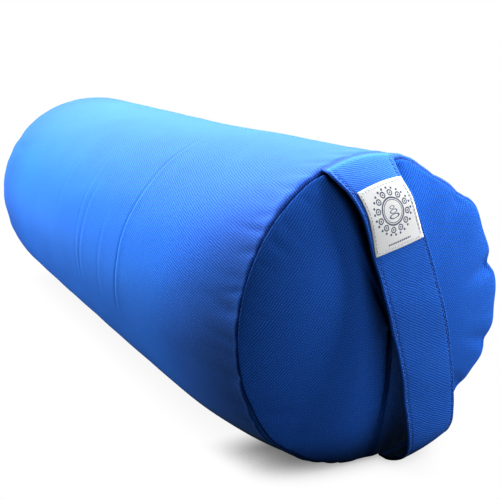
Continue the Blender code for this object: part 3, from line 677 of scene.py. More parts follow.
def barrel_painted_light(shader, colour):
    """Light and shade painted into the barrel's colour, placed in metres."""
    x, y, z = shader.separate(shader.position())
    # painted shade: deeper beside the handle end's seam, below the top and mostly on the -Y side
    depth = x.rise(over=(0.222, 0.302)) * z.fall(over=(0.175, 0.222))
    depth = depth * y.fall(over=(-0.01, 0.03), low=0.25)
    depth = depth.times_plus(-0.44, 1.0)
    # painted shade: deeper on the +Y side
    plus_y = y.rise(over=(0.045, 0.105)) * x.fall(over=(0.270, 0.315))
    depth = depth * plus_y.times_plus(-0.46, 1.0)
    # painted shade: deeper towards the rear
    depth = depth * x.rise(over=(-0.335, -0.16), low=0.72)
    # painted light: greener and brighter low down, between the ends
    between = x.fall(over=(0.19, 0.25)) * x.rise(over=(-0.29, -0.20))
    low_down = z.fall(over=(0.12, 0.21)) * between
    greener_painted_light = shader.add("ShaderNodeVectorMath", {0: colour, 1: (0.72, 1.17, 1.14)},
                         operation="MULTIPLY")
    colour = shader.mix(low_down, colour, greener_painted_light)
    # painted sheen: a little paler and whiter on top
    painted_top_sheen = z.rise(over=(0.15, 0.235)) * 0.038
    return shader.mix(painted_top_sheen, colour.scaled(depth), (0.80, 0.50, 1.0))


def handle_painted_light(shader, colour):
    """Painted light and shade: the handle is paler near its upper end and darker on the side that faces
    the bolster.
    """
    z = shader.separate(shader.position())[2]
    # painted light: brighter towards the upper end
    colour = colour.scaled(z.rise(over=(0.186, 0.222), low=1.0, high=1.45))
    # painted shade: darker where the surface faces -X, towards the bolster
    normal = shader.add("ShaderNodeNewGeometry", output="Normal")
    facing = shader.separate(normal)[0]
    colour = colour.scaled(facing.rise(over=(-0.35, 0.1), low=0.40))
    # painted highlight: a pale whitish tint near the top
    return shader.mix(z.rise(over=(0.196, 0.230), high=0.032), colour, (0.80, 0.55, 1.0))


def panel_painted_light(shader, colour):
    """Painted light and shade: the front panel deeper high on the -Y side and paler in the middle; the
    rear panel darker.
    """
    x, y, z = shader.separate(shader.position())
    high = z.rise(over=(0.10, 0.19)) * y.fall(over=(-0.085, -0.02))
    middle = y.rise(over=(-0.035, 0.01)) * y.fall(over=(0.03, 0.06))
    tone = middle.times_plus(0.25, high.times_plus(-0.26, 1.0))
    return colour.scaled(tone * x.rise(over=(-0.1, 0.1), low=0.52))


BLUE = (0.0205, 0.136, 0.63)
STRAP_BLUE = (0.0245, 0.146, 0.65)
BARREL_TWILL = twill("cover_twill_barrel", BLUE, angle=18.0, pitch=1.75, contrast=0.92,
                     paint_light=barrel_painted_light)
PANEL_TWILL = twill("cover_twill_panel", BLUE, angle=47.0, pitch=1.8, contrast=0.80,
                    paint_light=panel_painted_light)
STRAP_TWILL = twill("handle_twill_looks", STRAP_BLUE, angle=52.0, pitch=1.7, contrast=0.66,
                    paint_light=handle_painted_light, sheen=0.12)
BLUE_THREAD = thread("sewing_thread_blue", (0.05, 0.20, 0.78))
PALE_THREAD = thread("label_thread_pale", (0.60, 0.64, 0.70))

# =================================================================================================
# cover
# =================================================================================================
ARC_RADIUS = 117.0                  # turns angles into mm round the barrel
HALF_GIRTH = 367.0
FAR_COLUMN = 2.15                   # column spacing away from the zip
NEAR_COLUMNS = [0.0, 0.45, 1.0, 1.8, 2.9, 4.1, SLIT_WIDTH / 2, 5.55, 5.95, 6.5, 7.2, 8.0, 9.2,
                10.8, 12.6]         # mm from the zip's middle line
SLIT_COLUMN = NEAR_COLUMNS.index(SLIT_WIDTH / 2)

# the barrel's edge turned in at each end: past the end, radius at the front and rear, least height
TUCK = (
    (0.55, 113.9, 99.8, 0.9), (0.62, 112.0, 98.0, 0.9), (0.3, 109.0, 95.0, 0.9),
    (0.1, 106.6, 92.6, 0.9), (-0.45, 106.1, 92.1, 1.1), (-1.0, 106.6, 92.6, 1.2),
    (-0.9, 109.0, 95.5, 1.2), (-0.75, 112.5, 98.6, 1.2))

# an end panel's edge turned in: x past the dome's foot, how far inside the rim
PANEL_TUCK = ((0.55, 0.35), (0.25, 1.4), (0.25, 4.0), (0.6, 7.4), (1.2, 7.9), (1.7, 7.4),
              (1.55, 4.4))


def column_angles():
    """Angles of the columns round the barrel, starting at the zip's middle line."""
    start = NEAR_COLUMNS[-1]
    rest = HALF_GIRTH - start
    count = int(round(rest / FAR_COLUMN))
    across = NEAR_COLUMNS + [start + rest * (i + 1) / count for i in range(count)]
    exact = np.array(across) / ARC_RADIUS * 180.0 / math.pi
    # only the far columns stretch to reach half a turn, so the slit's edges keep their places
    far = smooth(6.0, 60.0, exact)
    half_turn = exact * (1 - far) + exact * 180.0 / exact[-1] * far
    offsets = np.concatenate([half_turn[:-1], [180.0], 360.0 - half_turn[1:-1][::-1]])
    return offsets + ZIP_ANGLE


def steps_between(marks, coarse, fine_at):
    """Rows through the marks, closer together near each of fine_at (centre, half span, step)."""
    steps = [marks[0]]
    while steps[-1] < marks[-1] - 1e-6:
        x = steps[-1]
        step = coarse
        for centre, half_span, fine in fine_at:
            step = min(step, fine + max(0.0, abs(x - centre) - half_span) * 0.22)
        mark = min((m for m in marks if m > x + 1e-6), default=marks[-1])
        steps.append(x + (mark - x) / max(1, math.ceil((mark - x) / step)))
    return steps


def build_barrel():
    columns = column_angles()
    outer_x = steps_between(
        [-HALF, -300.0, ZIP_X[0], 0.0, ZIP_X[1], 300.0, HALF], 3.4,
        ((-HALF, 1.5, 0.7), (HALF, 2.0, 0.45), (113.0, 5.0, 0.75), (15.0, 10.0, 1.3),
         (69.0, 4.0, 1.4), (ZIP_X[0], 1.0, 1.1), (ZIP_X[1], 1.0, 1.1)))
    inner_x = [x for x in reversed(outer_x) if abs(x) < HALF - 1.25]
    # closed loop of rows: x, radius (or its offset from the outer face), end turned in, least z
    profile = [(x, 0.0, 0.0, 0.0) for x in outer_x]
    profile += [(HALF + past, front, 1.0, lift) for past, front, _, lift in TUCK]
    profile += [(x, -CLOTH, 0.0, CLOTH) for x in inner_x]
    profile += [(-HALF - past, rear, -1.0, lift) for past, _, rear, lift in reversed(TUCK)]
    x, offset, end, lift = np.array(profile).T[:, :, None]
    deg = columns[None, :] % 360.0
    inside_x = np.clip(x, -HALF, HALF)
    radius = barrel_radius(inside_x) + offset + barrel_relief(inside_x, deg)
    tuck_radius = offset + np.where(end > 0, lobes(deg), 0.0)
    radius = np.where(end == 0.0, radius, tuck_radius)
    # the lip swells forward over the handle's upper end
    lip = 1.5 * bell(off_angle(deg, 74.0), 7.0) * bell(HALF - inside_x, 9.0)
    points = place(x + lip, radius, deg, lift)

    rows, cols = points.shape[:2]
    faces, face_rows, face_cols = quads(rows, cols, wrap_rows=True)
    tuck_u = np.arange(1, len(TUCK) + 1) * 1.5
    u = np.concatenate([outer_x, HALF + tuck_u, inner_x, -HALF - tuck_u[::-1]])
    v = np.append(columns, columns[0] + 360.0) * math.pi / 180.0 * ARC_RADIUS
    uv = np.stack([np.append(u, u[0])[face_rows], v[face_cols]], -1)

    # the zip's slit, cut through both faces of the cloth
    inner_base = len(outer_x) + len(TUCK)
    out_lo, out_hi = (int(np.argmin(np.abs(np.array(outer_x) - x))) for x in ZIP_X)
    in_hi, in_lo = (inner_base + int(np.argmin(np.abs(np.array(inner_x) - x)))
                    for x in reversed(ZIP_X))
    low, high = cols - SLIT_COLUMN, SLIT_COLUMN
    row, col = face_rows[:, 0], face_cols[:, 0]
    in_rows = ((row >= out_lo) & (row < out_hi)) | ((row >= in_hi) & (row < in_lo))
    keep = ~(((col >= low) | (col < high)) & in_rows)

    def at(row, col):
        return row * cols + col % cols

    def mate(row):
        """The inner face's row behind a row of the outer face."""
        return in_lo - (row - out_lo)

    walls = []
    for k in range(out_lo, out_hi):
        after = k + 1
        walls.append((at(k, low), at(after, low), at(mate(after), low), at(mate(k), low)))
        walls.append((at(after, high), at(k, high), at(mate(k), high), at(mate(after), high)))
    for c in range(-SLIT_COLUMN, SLIT_COLUMN):
        after, first, last = c + 1, mate(out_lo), mate(out_hi)
        walls.append((at(out_lo, after), at(out_lo, c), at(first, c), at(first, after)))
        walls.append((at(out_hi, c), at(out_hi, after), at(last, after), at(last, c)))
    walls = np.array(walls)
    wall_uv = np.stack([u[walls // cols], v[walls % cols]], -1)
    points, faces = without_loose(points.reshape(-1, 3), faces[keep].tolist() + walls.tolist())
    uv = np.concatenate([uv[keep].reshape(-1, 2), wall_uv.reshape(-1, 2)])
    barrel = make("cover_barrel", points, faces, uv, BARREL_TWILL)
    ride_bolster(barrel, "cover_twill", "cover_barrel_panel")


def end_panel(name, rim, rise, lift, sign, replaced):
    """A domed disc of cloth with its edge turned in; sign is its end along X."""
    def dome(share):
        return rise * (1.0 - share * share) ** DOME_POWER

    shares = [0.0, 0.012, 0.03, 0.055] + list(np.linspace(0.085, 0.90, 40)) + [
        0.915, 0.93, 0.944, 0.957, 0.968, 0.977, 0.985, 0.991, 0.9955, 0.9985, 1.0]
    # rows: share of the radius, x, radius, how much relief
    profile = [(s, dome(s) + CLOTH, s * rim, 1.0) for s in shares]
    profile += [(1.0, x, rim - inside, 0.0) for x, inside in PANEL_TUCK]
    profile += [(s, dome(s), s * (rim - CLOTH), 1.0) for s in reversed(shares[:-6])]
    profile = np.array(profile)
    degs = np.arange(0.0, 360.0, 1.0)
    deg = degs[None, :]
    share, rise_x, radius, body = profile.T[:, :, None]
    relief = panel_relief(share, deg, rim, sign) * body
    start = 0.95 + 0.0 * deg
    if sign > 0:
        # room for the handle's ends between the two cloths
        for at, half_span in ((HANDLE_TOP + TOP_LEAN, 15.5), (HANDLE_BOTTOM, 13.5)):
            off = np.abs(off_angle(deg, at))
            start = start + 1.5 * (1.0 - smooth(half_span - 1.5, half_span + 2.5, off))
        start = start - 0.6 * bell(off_angle(deg, 80.0), 3.5)
        radius = radius + lobes(deg) * bell(rim - radius, 24.0) * smooth(0.0, 0.2, share)
    points = place(sign * (HALF + start + rise_x + relief), radius, deg, lift)

    # flat cloth coordinates
    rows, cols = points.shape[:2]
    grid_faces, face_rows, face_cols = quads(rows, cols)
    angle = np.radians(np.append(degs, 360.0))[face_cols]
    run = run_along(profile[:, 1:3])
    flat = np.where(np.arange(rows) < rows // 2 + 4, run, run[-1] - run)[face_rows]
    grid_uv = np.stack([flat * np.cos(angle) * sign, flat * np.sin(angle)], -1)
    # the first and last rows are each drawn together to one point
    points = points.reshape(-1, 3).copy()
    merged = np.arange(rows * cols)
    for first in (0, (rows - 1) * cols):
        points[first] = points[first:first + cols].mean(0)
        merged[first:first + cols] = first
    faces, uvs = [], []
    for corners, corner_uvs in zip(merged[grid_faces].tolist(), grid_uv.tolist()):
        face = []
        for corner, corner_uv in zip(corners, corner_uvs):
            if corner not in face:
                face.append(corner)
                uvs.append(corner_uv)
        faces.append(face)
    points, faces = without_loose(points, faces)
    ride_bolster(make(name, points, faces, uvs, PANEL_TWILL), "cover_twill", replaced)


build_barrel()
end_panel("cover_end_front", rim=114.7, rise=23.9, lift=PANEL_LIFT, sign=1,
          replaced="cover_end_panel_front")
end_panel("cover_end_rear", rim=100.6, rise=18.2, lift=2.0, sign=-1,
          replaced="cover_end_panel_rear")

# =================================================================================================
# handle: t runs 0 to 1 down its chord, v from -1 at its -Y edge to 1 at its +Y edge
# =================================================================================================
# how far it bows out from the chord: t, mm
BOW_T, BOW_OUT = np.array((
    (0.0, 4.5), (0.02, 9.8), (0.07, 18.6), (0.148, 27.2), (0.253, 33.4), (0.354, 40.5),
    (0.467, 46.6), (0.603, 50.0), (0.742, 50.2), (0.847, 45.6), (0.92, 37.0), (0.963, 25.0),
    (0.988, 14.0), (1.0, 5.0))).T
# how the cloth is drawn in down its length: t, share of its width
NARROW = np.array((
    (0.0, 1.0), (0.05, 0.985), (0.10, 0.955), (0.16, 0.935), (0.50, 0.945), (0.66, 0.93),
    (0.80, 0.91), (0.92, 0.87), (1.0, 0.84))).T
# how its lower part turns: t, mm the +Y edge goes in
TURN = np.array((
    (0.0, 0.0), (0.55, 0.0), (0.72, 0.3), (0.82, 2.0), (0.90, 3.0), (0.95, 2.5), (0.98, 1.0),
    (1.0, 0.0))).T
TWIST_TOP, TWIST_BOTTOM = -1.0, 1.5
BAND_OUT = 2.2                      # how far outside the seam the band leaves it
HALF_WIDTH, HALF_THICK = HANDLE_WIDTH / 2, HANDLE_THICK / 2
SPREAD = math.degrees(HALF_WIDTH / SEAM_R_FRONT) * 0.98
EDGE_STITCH = 2.9                   # stitch line's distance from the edge

before = np.maximum(np.arange(len(BOW_T)) - 1, 0)
after = np.minimum(np.arange(len(BOW_T)) + 1, len(BOW_T) - 1)
BOW_SLOPE = (BOW_OUT[after] - BOW_OUT[before]) / (BOW_T[after] - BOW_T[before])


def seam_point(deg, out_by, along, floor=0.3):
    forward = np.array([1.0, 0.0, 0.0]) * np.asarray(along, float)[..., None]
    return place(HALF, SEAM_R_FRONT + out_by, deg, floor) + forward


TOP_POINT = seam_point(HANDLE_TOP, BAND_OUT, SEAM_SPACE / 2)
LOW_POINT = seam_point(HANDLE_BOTTOM, BAND_OUT, SEAM_SPACE / 2)
CHORD = float(np.linalg.norm(LOW_POINT - TOP_POINT))
DOWN = (LOW_POINT - TOP_POINT) / CHORD
OUT = np.array([1.0, 0.0, 0.0]) - DOWN[0] * DOWN
OUT = OUT / np.linalg.norm(OUT)
ACROSS = np.cross(OUT, DOWN)
# each end: angle of its middle, which way v turns, share of the width, end of the chord
TOP_END = (HANDLE_TOP + TOP_LEAN, -1.0, 1.0 + HANDLE_FLARE, TOP_POINT)
LOW_END = (HANDLE_BOTTOM + LOW_LEAN, 1.0, LOW_SHARE, LOW_POINT)


def bow(t):
    """Smooth curve through the bow's stations."""
    i = np.clip(np.searchsorted(BOW_T, t, side="left") - 1, 0, len(BOW_T) - 2)
    span = BOW_T[i + 1] - BOW_T[i]
    s = (t - BOW_T[i]) / span
    return ((2 * s ** 3 - 3 * s ** 2 + 1) * BOW_OUT[i]
            + (s ** 3 - 2 * s ** 2 + s) * span * BOW_SLOPE[i]
            + (-2 * s ** 3 + 3 * s ** 2) * BOW_OUT[i + 1] + (s ** 3 - s ** 2) * span * BOW_SLOPE[i + 1])


def end_drape(v, end):
    """How far the handle's end leaves its straight width to follow the curve of the seam."""
    angle, turn, share, point = end
    on_seam = seam_point(angle + turn * v * SPREAD * share, BAND_OUT, SEAM_SPACE / 2 + 0.0 * v)
    return on_seam - point - ACROSS * (v * share * HALF_WIDTH)[..., None]


def strap_mid(t, v):
    """Middle layer of the handle, with the small bends of real cloth."""
    t, v = np.broadcast_arrays(np.asarray(t, float), np.asarray(v, float))
    drape = (end_drape(v, TOP_END) * (1.0 - smooth(0.0, 0.17, t))[..., None]
             + end_drape(v, LOW_END) * smooth(0.70, 1.0, t)[..., None])
    out = bow(t) + v * TWIST_TOP * (1.0 - smooth(0.0, 0.28, t))
    out = out + v * TWIST_BOTTOM * smooth(0.75, 1.0, t) - v * np.interp(t, *TURN)
    flare = 1.0 + HANDLE_FLARE * (1.0 - smooth(0.0, 0.075, t))
    across = v * flare * np.interp(t, *NARROW) * HALF_WIDTH
    free = smooth(0.02, 0.10, t) * (1.0 - smooth(0.92, 0.985, t))
    ripple = 0.55 * np.sin(13.0 * t + 1.1 + 0.8 * v) + 0.28 * np.sin(31.0 * t + 0.6 - 1.4 * v)
    out = out + free * ripple * (0.5 + 0.5 * np.abs(v))
    uneven = 0.35 * np.sin(21.0 * t + 2.0 * np.sign(v)) + 0.16 * np.sin(57.0 * t + v)
    across = across + free * np.sign(v) * np.abs(v) ** 3 * uneven
    # the cloth cups slightly towards its edges
    out = out - free * 0.9 * (v * v - 0.35)
    return (TOP_POINT + DOWN * (t * CHORD)[..., None] + OUT * out[..., None]
            + ACROSS * across[..., None] + drape)


def strap_normal(t, v):
    step = 0.002
    normal = np.cross(strap_mid(t + step, v) - strap_mid(t - step, v), ACROSS)
    return normal / np.linalg.norm(normal, axis=-1, keepdims=True)


def strap_on(t, v, up):
    return strap_mid(t, v) + strap_normal(t, v) * np.asarray(up, float)[..., None]


def stitch_dip(t, v):
    """The two layers drawn together along the stitch lines, and plump at the folded edges."""
    inside = (1.0 - np.abs(v)) * HALF_WIDTH
    pull = 1.0 + 0.35 * np.cos(FULL_TURN * t * CHORD / 3.4)
    return -0.42 * bell(inside - EDGE_STITCH, 0.75) * pull + 0.22 * bell(inside - 1.4, 0.9)


def swing_with_handle(piece, t, slot, *replaced):
    """Bakes the piece's transform into its mesh; it stands for the named CAD nodes of the handle, whose
    ends are sewn down.
    """
    tuple((TOP_POINT + DOWN * CHORD * 0.1) * MM)
    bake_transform(piece)
    weight = smooth(0.012, 0.12, t) * (1.0 - smooth(0.88, 0.988, t))
    stand_for(replaced)


# rows of an end sewn in between the seam's two cloths, inmost first:
# how far outside the seam, outer and inner face; x past the seam, outer and inner face
TAB_ROWS = ((-7.0, -7.0, 0.75, 2.1), (-4.0, -4.0, 0.75, 2.1), (-1.0, -1.2, 0.75, 2.1),
            (1.2, -0.2, 0.75, 2.2), (2.9, 0.7, 0.9, 2.4))


def band_section():
    """Once round the doubled band: v, share of the half thickness."""
    side = [0.17, 0.34, 0.5, 0.66, 0.76, 0.82, 0.855, 0.882, 0.91, 0.945, 0.972]
    across = [-v for v in reversed(side)] + [0.0] + side
    edge = [(0.992, 0.66), (1.0, 0.25), (1.0, -0.25), (0.992, -0.66)]
    section = [(-1.0, -0.25), (-1.0, 0.25), (-0.992, 0.66)] + [(v, 1.0) for v in across] + edge
    return np.array(section + [(v, -1.0) for v in reversed(across)] + [(-0.992, -0.66)])


def tab(end, rows, section):
    """Grid of an end of the handle where it is sewn in."""
    angle, turn, width, _ = end
    outer = (section[:, 1] + 1.0) / 2.0
    deg = angle + turn * section[:, 0] * SPREAD * width
    floor = 0.3 + (PANEL_LIFT - 0.7) * (1.0 - outer) if turn > 0 else 0.3
    grid = []
    for out_outer, out_inner, x_outer, x_inner in rows:
        out_by = out_inner + (out_outer - out_inner) * outer
        along = x_inner + (x_outer - x_inner) * outer
        grid.append(seam_point(deg, out_by + 0.6 * lobes(deg), along, floor))
    return np.array(grid)


def build_band():
    section = band_section()
    t_rows = np.concatenate([
        [0.006, 0.010, 0.015, 0.021, 0.028, 0.036, 0.045, 0.055], np.linspace(0.065, 0.935, 132),
        [0.944, 0.952, 0.959, 0.966, 0.972, 0.978, 0.983, 0.988, 0.992, 0.995]])
    t, v, level = t_rows[:, None], section[None, :, 0], section[None, :, 1]
    dip = np.where(np.abs(level) > 0.9, stitch_dip(t, v) * np.sign(level), 0.0)
    grid = np.concatenate([tab(TOP_END, TAB_ROWS, section),
                           strap_on(t, v, level * HALF_THICK + dip),
                           tab(LOW_END, TAB_ROWS[::-1], section)])
    rows, cols = grid.shape[:2]
    faces, face_rows, face_cols = quads(rows, cols)
    length = run_along(grid[:, cols // 4])
    girth = run_along(np.append(grid[rows // 2], grid[rows // 2][:1], 0))
    uv = np.stack([length[face_rows], girth[face_cols]], -1).reshape(-1, 2)
    cap_uv = [[length[0], girth[k]] for k in reversed(range(cols))]
    cap_uv += [[length[-1], girth[k]] for k in range(cols)]
    band = make("handle_band", grid.reshape(-1, 3), faces.tolist() + end_caps(rows, cols),
                np.concatenate([uv, cap_uv]), STRAP_TWILL)
    t_all = np.concatenate([np.zeros(len(TAB_ROWS)), t_rows, np.ones(len(TAB_ROWS))])
    swing_with_handle(band, np.repeat(t_all, cols), "handle_twill", "handle_strap",
                      "handle_sewn_end_top", "handle_sewn_end_bottom")


def edge_stitching(side, word):
    t = np.linspace(0.012, 0.986, 500)
    v = np.full_like(t, side * (1.0 - EDGE_STITCH / HALF_WIDTH))
    path = strap_on(t, v, HALF_THICK - 0.42 + 0.10)
    parts, share = stitches(path, strap_normal(t, v), length=2.7, gap=0.75, radius=0.36)
    run = run_along(path)
    piece = make("handle_topstitch_" + word, *parts, BLUE_THREAD)
    swing_with_handle(piece, np.interp(share, run / run[-1], t), "sewing_thread",
                      "handle_edge_stitching_" + word)


build_band()
edge_stitching(-1.0, "left")
edge_stitching(1.0, "right")

# ---- label --------------------------------------------------------------------------------------
LABEL_W, LABEL_H = 41.0, 45.0
# (t, v) of its corners: top left, top right, bottom right, bottom left
LABEL_CORNERS = np.array(((0.079, -0.785), (0.068, 0.93), (0.257, 0.875), (0.268, -0.925)))
LABEL_THICK = 0.42
LABEL_HEM = 2.0                     # its stitches' distance from its edges


def label_tv(across, down):
    """Handle t and v of a place on the label, both 0 to 1."""
    top_left, top_right, low_right, low_left = LABEL_CORNERS
    a, b = np.asarray(across, float)[..., None], np.asarray(down, float)[..., None]
    at = ((1 - a) * (1 - b) * top_left + a * (1 - b) * top_right + a * b * low_right
          + (1 - a) * b * low_left)
    return at[..., 0], at[..., 1]


def label_surface(across, down, up=0.0):
    t, v = label_tv(across, down)
    rise = 0.55 + 0.10 * np.sin(9.0 * across + 2.0) * np.sin(7.0 * down)
    from_edge = np.minimum(np.minimum(across, 1 - across) * LABEL_W,
                           np.minimum(down, 1 - down) * LABEL_H)
    rise = rise - 0.12 * bell(from_edge - 2.2, 0.9)
    return strap_on(t, v, HALF_THICK + stitch_dip(t, v) * 0.4 + rise + up)


def label_material():
    """White woven label with a printed emblem: stacked pebbles in rings of dots, over a rule."""
    shader = plain_weave("label_weave", (0.95, 0.98, 1.0), pitch=0.55, contrast=0.30, rough=0.8,
                         depth=0.05, near=True, spots=0.10)
    uv, u, v = shader.uv()
    from_x, from_y = u - LABEL_W * 0.505, v - LABEL_H * 0.44      # from the emblem's centre

    def distance(x, y):
        return (x * x + y * y).math("SQRT")

    def band(value, centre, half_width, soft=0.16):
        edges = (half_width - soft, half_width + soft)
        return 1.0 - (value - centre).math("ABSOLUTE").rise(over=edges)

    uneven = (shader.noise(uv, scale=1.3) - 0.5) * 0.35
    radius = distance(from_x, from_y) + uneven
    angle = from_y.math("ARCTAN2", from_x)
    marks = [band(radius, centre=9.0, half_width=0.52), band(radius, centre=7.6, half_width=0.26)]
    # beads set in rings: ring radius, count, bead radius, turn
    for ring, count, bead, turn in ((12.3, 12, 1.75, 0.0), (15.5, 24, 0.80, 0.0)):
        place_in_ring = (angle * count / FULL_TURN + turn).math("FRACT")
        along = (place_in_ring - 0.5) * (FULL_TURN / count) * ring
        off = distance(along, radius - ring)
        if bead > 1.0:
            marks.append(band(off, centre=bead, half_width=0.42))
            marks.append(1.0 - off.rise(over=(0.45, 0.8)))
        else:
            marks.append(1.0 - off.rise(over=(bead - 0.12, bead + 0.12)))
    # stacked pebbles: centre, half width and half height
    for x, y, half_width, half_height in ((0.0, 3.3, 4.2, 1.55), (0.2, 0.1, 3.1, 1.35),
                                          (-0.1, -2.7, 2.0, 1.1)):
        off = distance((from_x - x) / half_width, (from_y - y) / half_height)
        marks.append(band(off, centre=0.9, half_width=0.16, soft=0.05))
    # broken rule under the emblem
    rule = (band(v, centre=LABEL_H * 0.90, half_width=0.50)
            * band(from_x, centre=0.0, half_width=9.5, soft=0.2))
    marks.append(rule * (u * 0.55).math("FRACT").math("GREATER_THAN", 0.22))
    ink = marks[0]
    for mark in marks[1:]:
        ink = ink.math("MAXIMUM", mark)
    ink = ink * shader.noise(uv, scale=2.2).rise(over=(0.22, 0.42), low=0.62, high=0.95)
    base = shader.tree.nodes["Principled BSDF"].inputs["Base Color"].links[0].from_socket
    ink_colour = (0.035, 0.055, 0.125)
    return shader.surface({"Base Color": shader.mix(ink, Value(shader, base), ink_colour)})


def build_label():
    across, down = np.meshgrid(np.linspace(0, 1, 45), np.linspace(0, 1, 57), indexing="ij")
    rows, cols = across.shape
    count = rows * cols
    top = quads(rows, cols, wrap_cols=False)[0]
    rim = [i * cols for i in range(rows)] + [(rows - 1) * cols + j for j in range(1, cols)]
    rim += [i * cols + cols - 1 for i in range(rows - 2, -1, -1)] + list(range(cols - 2, 0, -1))
    walls = [[a, b, count + b, count + a] for a, b in zip(rim, rim[1:] + rim[:1])]
    faces = np.concatenate([top, top[:, ::-1] + count, walls])
    points = np.concatenate([label_surface(across, down).reshape(-1, 3),
                             label_surface(across, down, -LABEL_THICK).reshape(-1, 3)])
    flat = np.stack([across * LABEL_W, down * LABEL_H], -1).reshape(-1, 2)
    label = make("handle_label_woven", points, faces, flat[faces % count], label_material())
    t = label_tv(across, down)[0].ravel()
    swing_with_handle(label, np.concatenate([t, t]), "label_cloth", "handle_label")


def label_stitching():
    left, top = LABEL_HEM / LABEL_W, LABEL_HEM / LABEL_H
    corners = [(left, top), (1 - left, top), (1 - left, 1 - top), (left, 1 - top), (left, top)]
    share = np.linspace(0, 1, 80)
    parts, t_parts = [], []
    for (a0, b0), (a1, b1) in zip(corners, corners[1:]):
        across, down = a0 + (a1 - a0) * share, b0 + (b1 - b0) * share
        t, v = label_tv(across, down)
        part, where = stitches(label_surface(across, down, 0.10), strap_normal(t, v), length=1.9,
                               gap=0.75, radius=0.27, sink=0.2, lift=0.22)
        parts.append(part)
        t_parts.append(np.interp(where, share, t))
    piece = make("label_stitches", *join(parts), PALE_THREAD)
    swing_with_handle(piece, np.concatenate(t_parts), "label_thread", "label_stitching")


def loose_thread():
    """A cut thread end left at the handle's -Y edge."""
    t = 0.775
    share = np.linspace(0.0, 1.0, 14)
    path = (strap_on(t, -0.93, HALF_THICK) + np.outer(share, -ACROSS * 2.4)
            + np.outer(share ** 2, DOWN * -1.6) + np.outer(np.sin(share * 2.6), OUT * 0.9))
    parts = tube(path, 0.16 * (1.0 - 0.6 * share), 5, OUT)
    piece = make("loose_thread", *parts, PALE_THREAD)
    swing_with_handle(piece, np.full(len(parts[0]), t), "label_thread")


build_label()
label_stitching()
loose_thread()

# =================================================================================================
# zip, lengthwise in the barrel: along it, up across it, and out from it
# =================================================================================================
ZIP_START, ZIP_END = (place(x, barrel_radius(x), ZIP_ANGLE) for x in ZIP_X)
ZIP_LENGTH = float(np.linalg.norm(ZIP_END - ZIP_START))
ZIP_ALONG = (ZIP_END - ZIP_START) / ZIP_LENGTH
ZIP_OUT = np.array([0.0, math.cos(math.radians(ZIP_ANGLE)), math.sin(math.radians(ZIP_ANGLE))])
ZIP_OUT = ZIP_OUT - (ZIP_OUT @ ZIP_ALONG) * ZIP_ALONG
ZIP_OUT /= np.linalg.norm(ZIP_OUT)
ZIP_UP = np.cross(ZIP_ALONG, ZIP_OUT)
COIL_PITCH = 1.5
COIL_STEPS = 12                     # points in each turn

TAPE_WEAVE = plain_weave("zip_tape_weave", (0.022, 0.10, 0.46), pitch=0.55, contrast=0.6,
                         rough=0.8, depth=0.10).owner
NYLON = thread("zip_coil_nylon", (0.03, 0.12, 0.55), pitch=40.0, rough=0.32, sheen=0.0)


def zip_at(along, up, out):
    along, up, out = np.broadcast_arrays(*(np.asarray(q, float) for q in (along, up, out)))
    return (ZIP_START + ZIP_ALONG * along[..., None] + ZIP_UP * up[..., None]
            + ZIP_OUT * out[..., None])


def zip_tape(side, word):
    """Woven tape with a ridge beside the coil."""
    across = np.array([0.9, 1.2, 2.9, 3.3, 3.7, 4.2, 5.0, 6.0, 8.0, 10.0, 12.0, 14.1, 14.5])
    lift = np.interp(across, [0.9, 3.0, 3.5, 4.1, 5.0, 14.5], [0.0, 0.0, 0.16, 0.0, 0.05, 0.0])
    stations = np.linspace(-6.0, ZIP_LENGTH + 6.0, 150)
    along, back = stations[:, None], across[::-1]
    ripple = 0.05 * np.sin(along * 0.21 + across)
    top = zip_at(along, side * across, -2.1 - across ** 2 / 234.0 + lift + ripple)
    low = zip_at(along, side * back, -2.6 - back ** 2 / 234.0)
    grid = np.concatenate([top, low], 1)
    rows, cols = grid.shape[:2]
    faces, face_rows, face_cols = quads(rows, cols)
    width = across[-1]
    girth = np.concatenate([across, width + 0.5 + (width - back), [2 * width]])
    uv = np.stack([stations[face_rows], girth[face_cols]], -1).reshape(-1, 2)
    tape = make("zip_tape_woven_" + word, grid.reshape(-1, 3),
                faces.tolist() + end_caps(rows, cols),
                np.concatenate([uv, np.zeros((2 * cols, 2))]), TAPE_WEAVE)
    ride_bolster(tape, "zip_tape", "zip_tape_" + word)


def zip_coil(side, word):
    """One side of the closed coil: a flattened helix that meshes with the other, and its cord."""
    turns = int((444.4 - 5.8) / COIL_PITCH) - 1
    step = np.arange(turns * COIL_STEPS + 1)
    angle = FULL_TURN * step / COIL_STEPS
    along = 5.9 + COIL_PITCH * step / COIL_STEPS + (COIL_PITCH / 2 if side < 0 else 0.0)
    cos, sin = np.cos(angle), np.sin(angle)
    up = 1.36 - 1.62 * np.sign(cos) * np.abs(cos) ** 0.8
    out = -0.70 + 0.62 * np.sign(sin) * np.abs(sin) ** 0.8
    coil = tube(zip_at(along, side * up, out), 0.26 + 0.07 * smooth(0.55, 1.0, cos), 6, ZIP_ALONG)
    cord = tube(zip_at(np.linspace(5.4, 444.6, 60), side * 1.45, -0.70), 0.27, 8, ZIP_OUT)
    piece = make("zip_coil_wound_" + word, *join([coil, cord]), NYLON)
    ride_bolster(piece, "zip_coil", "zip_coil_" + word)


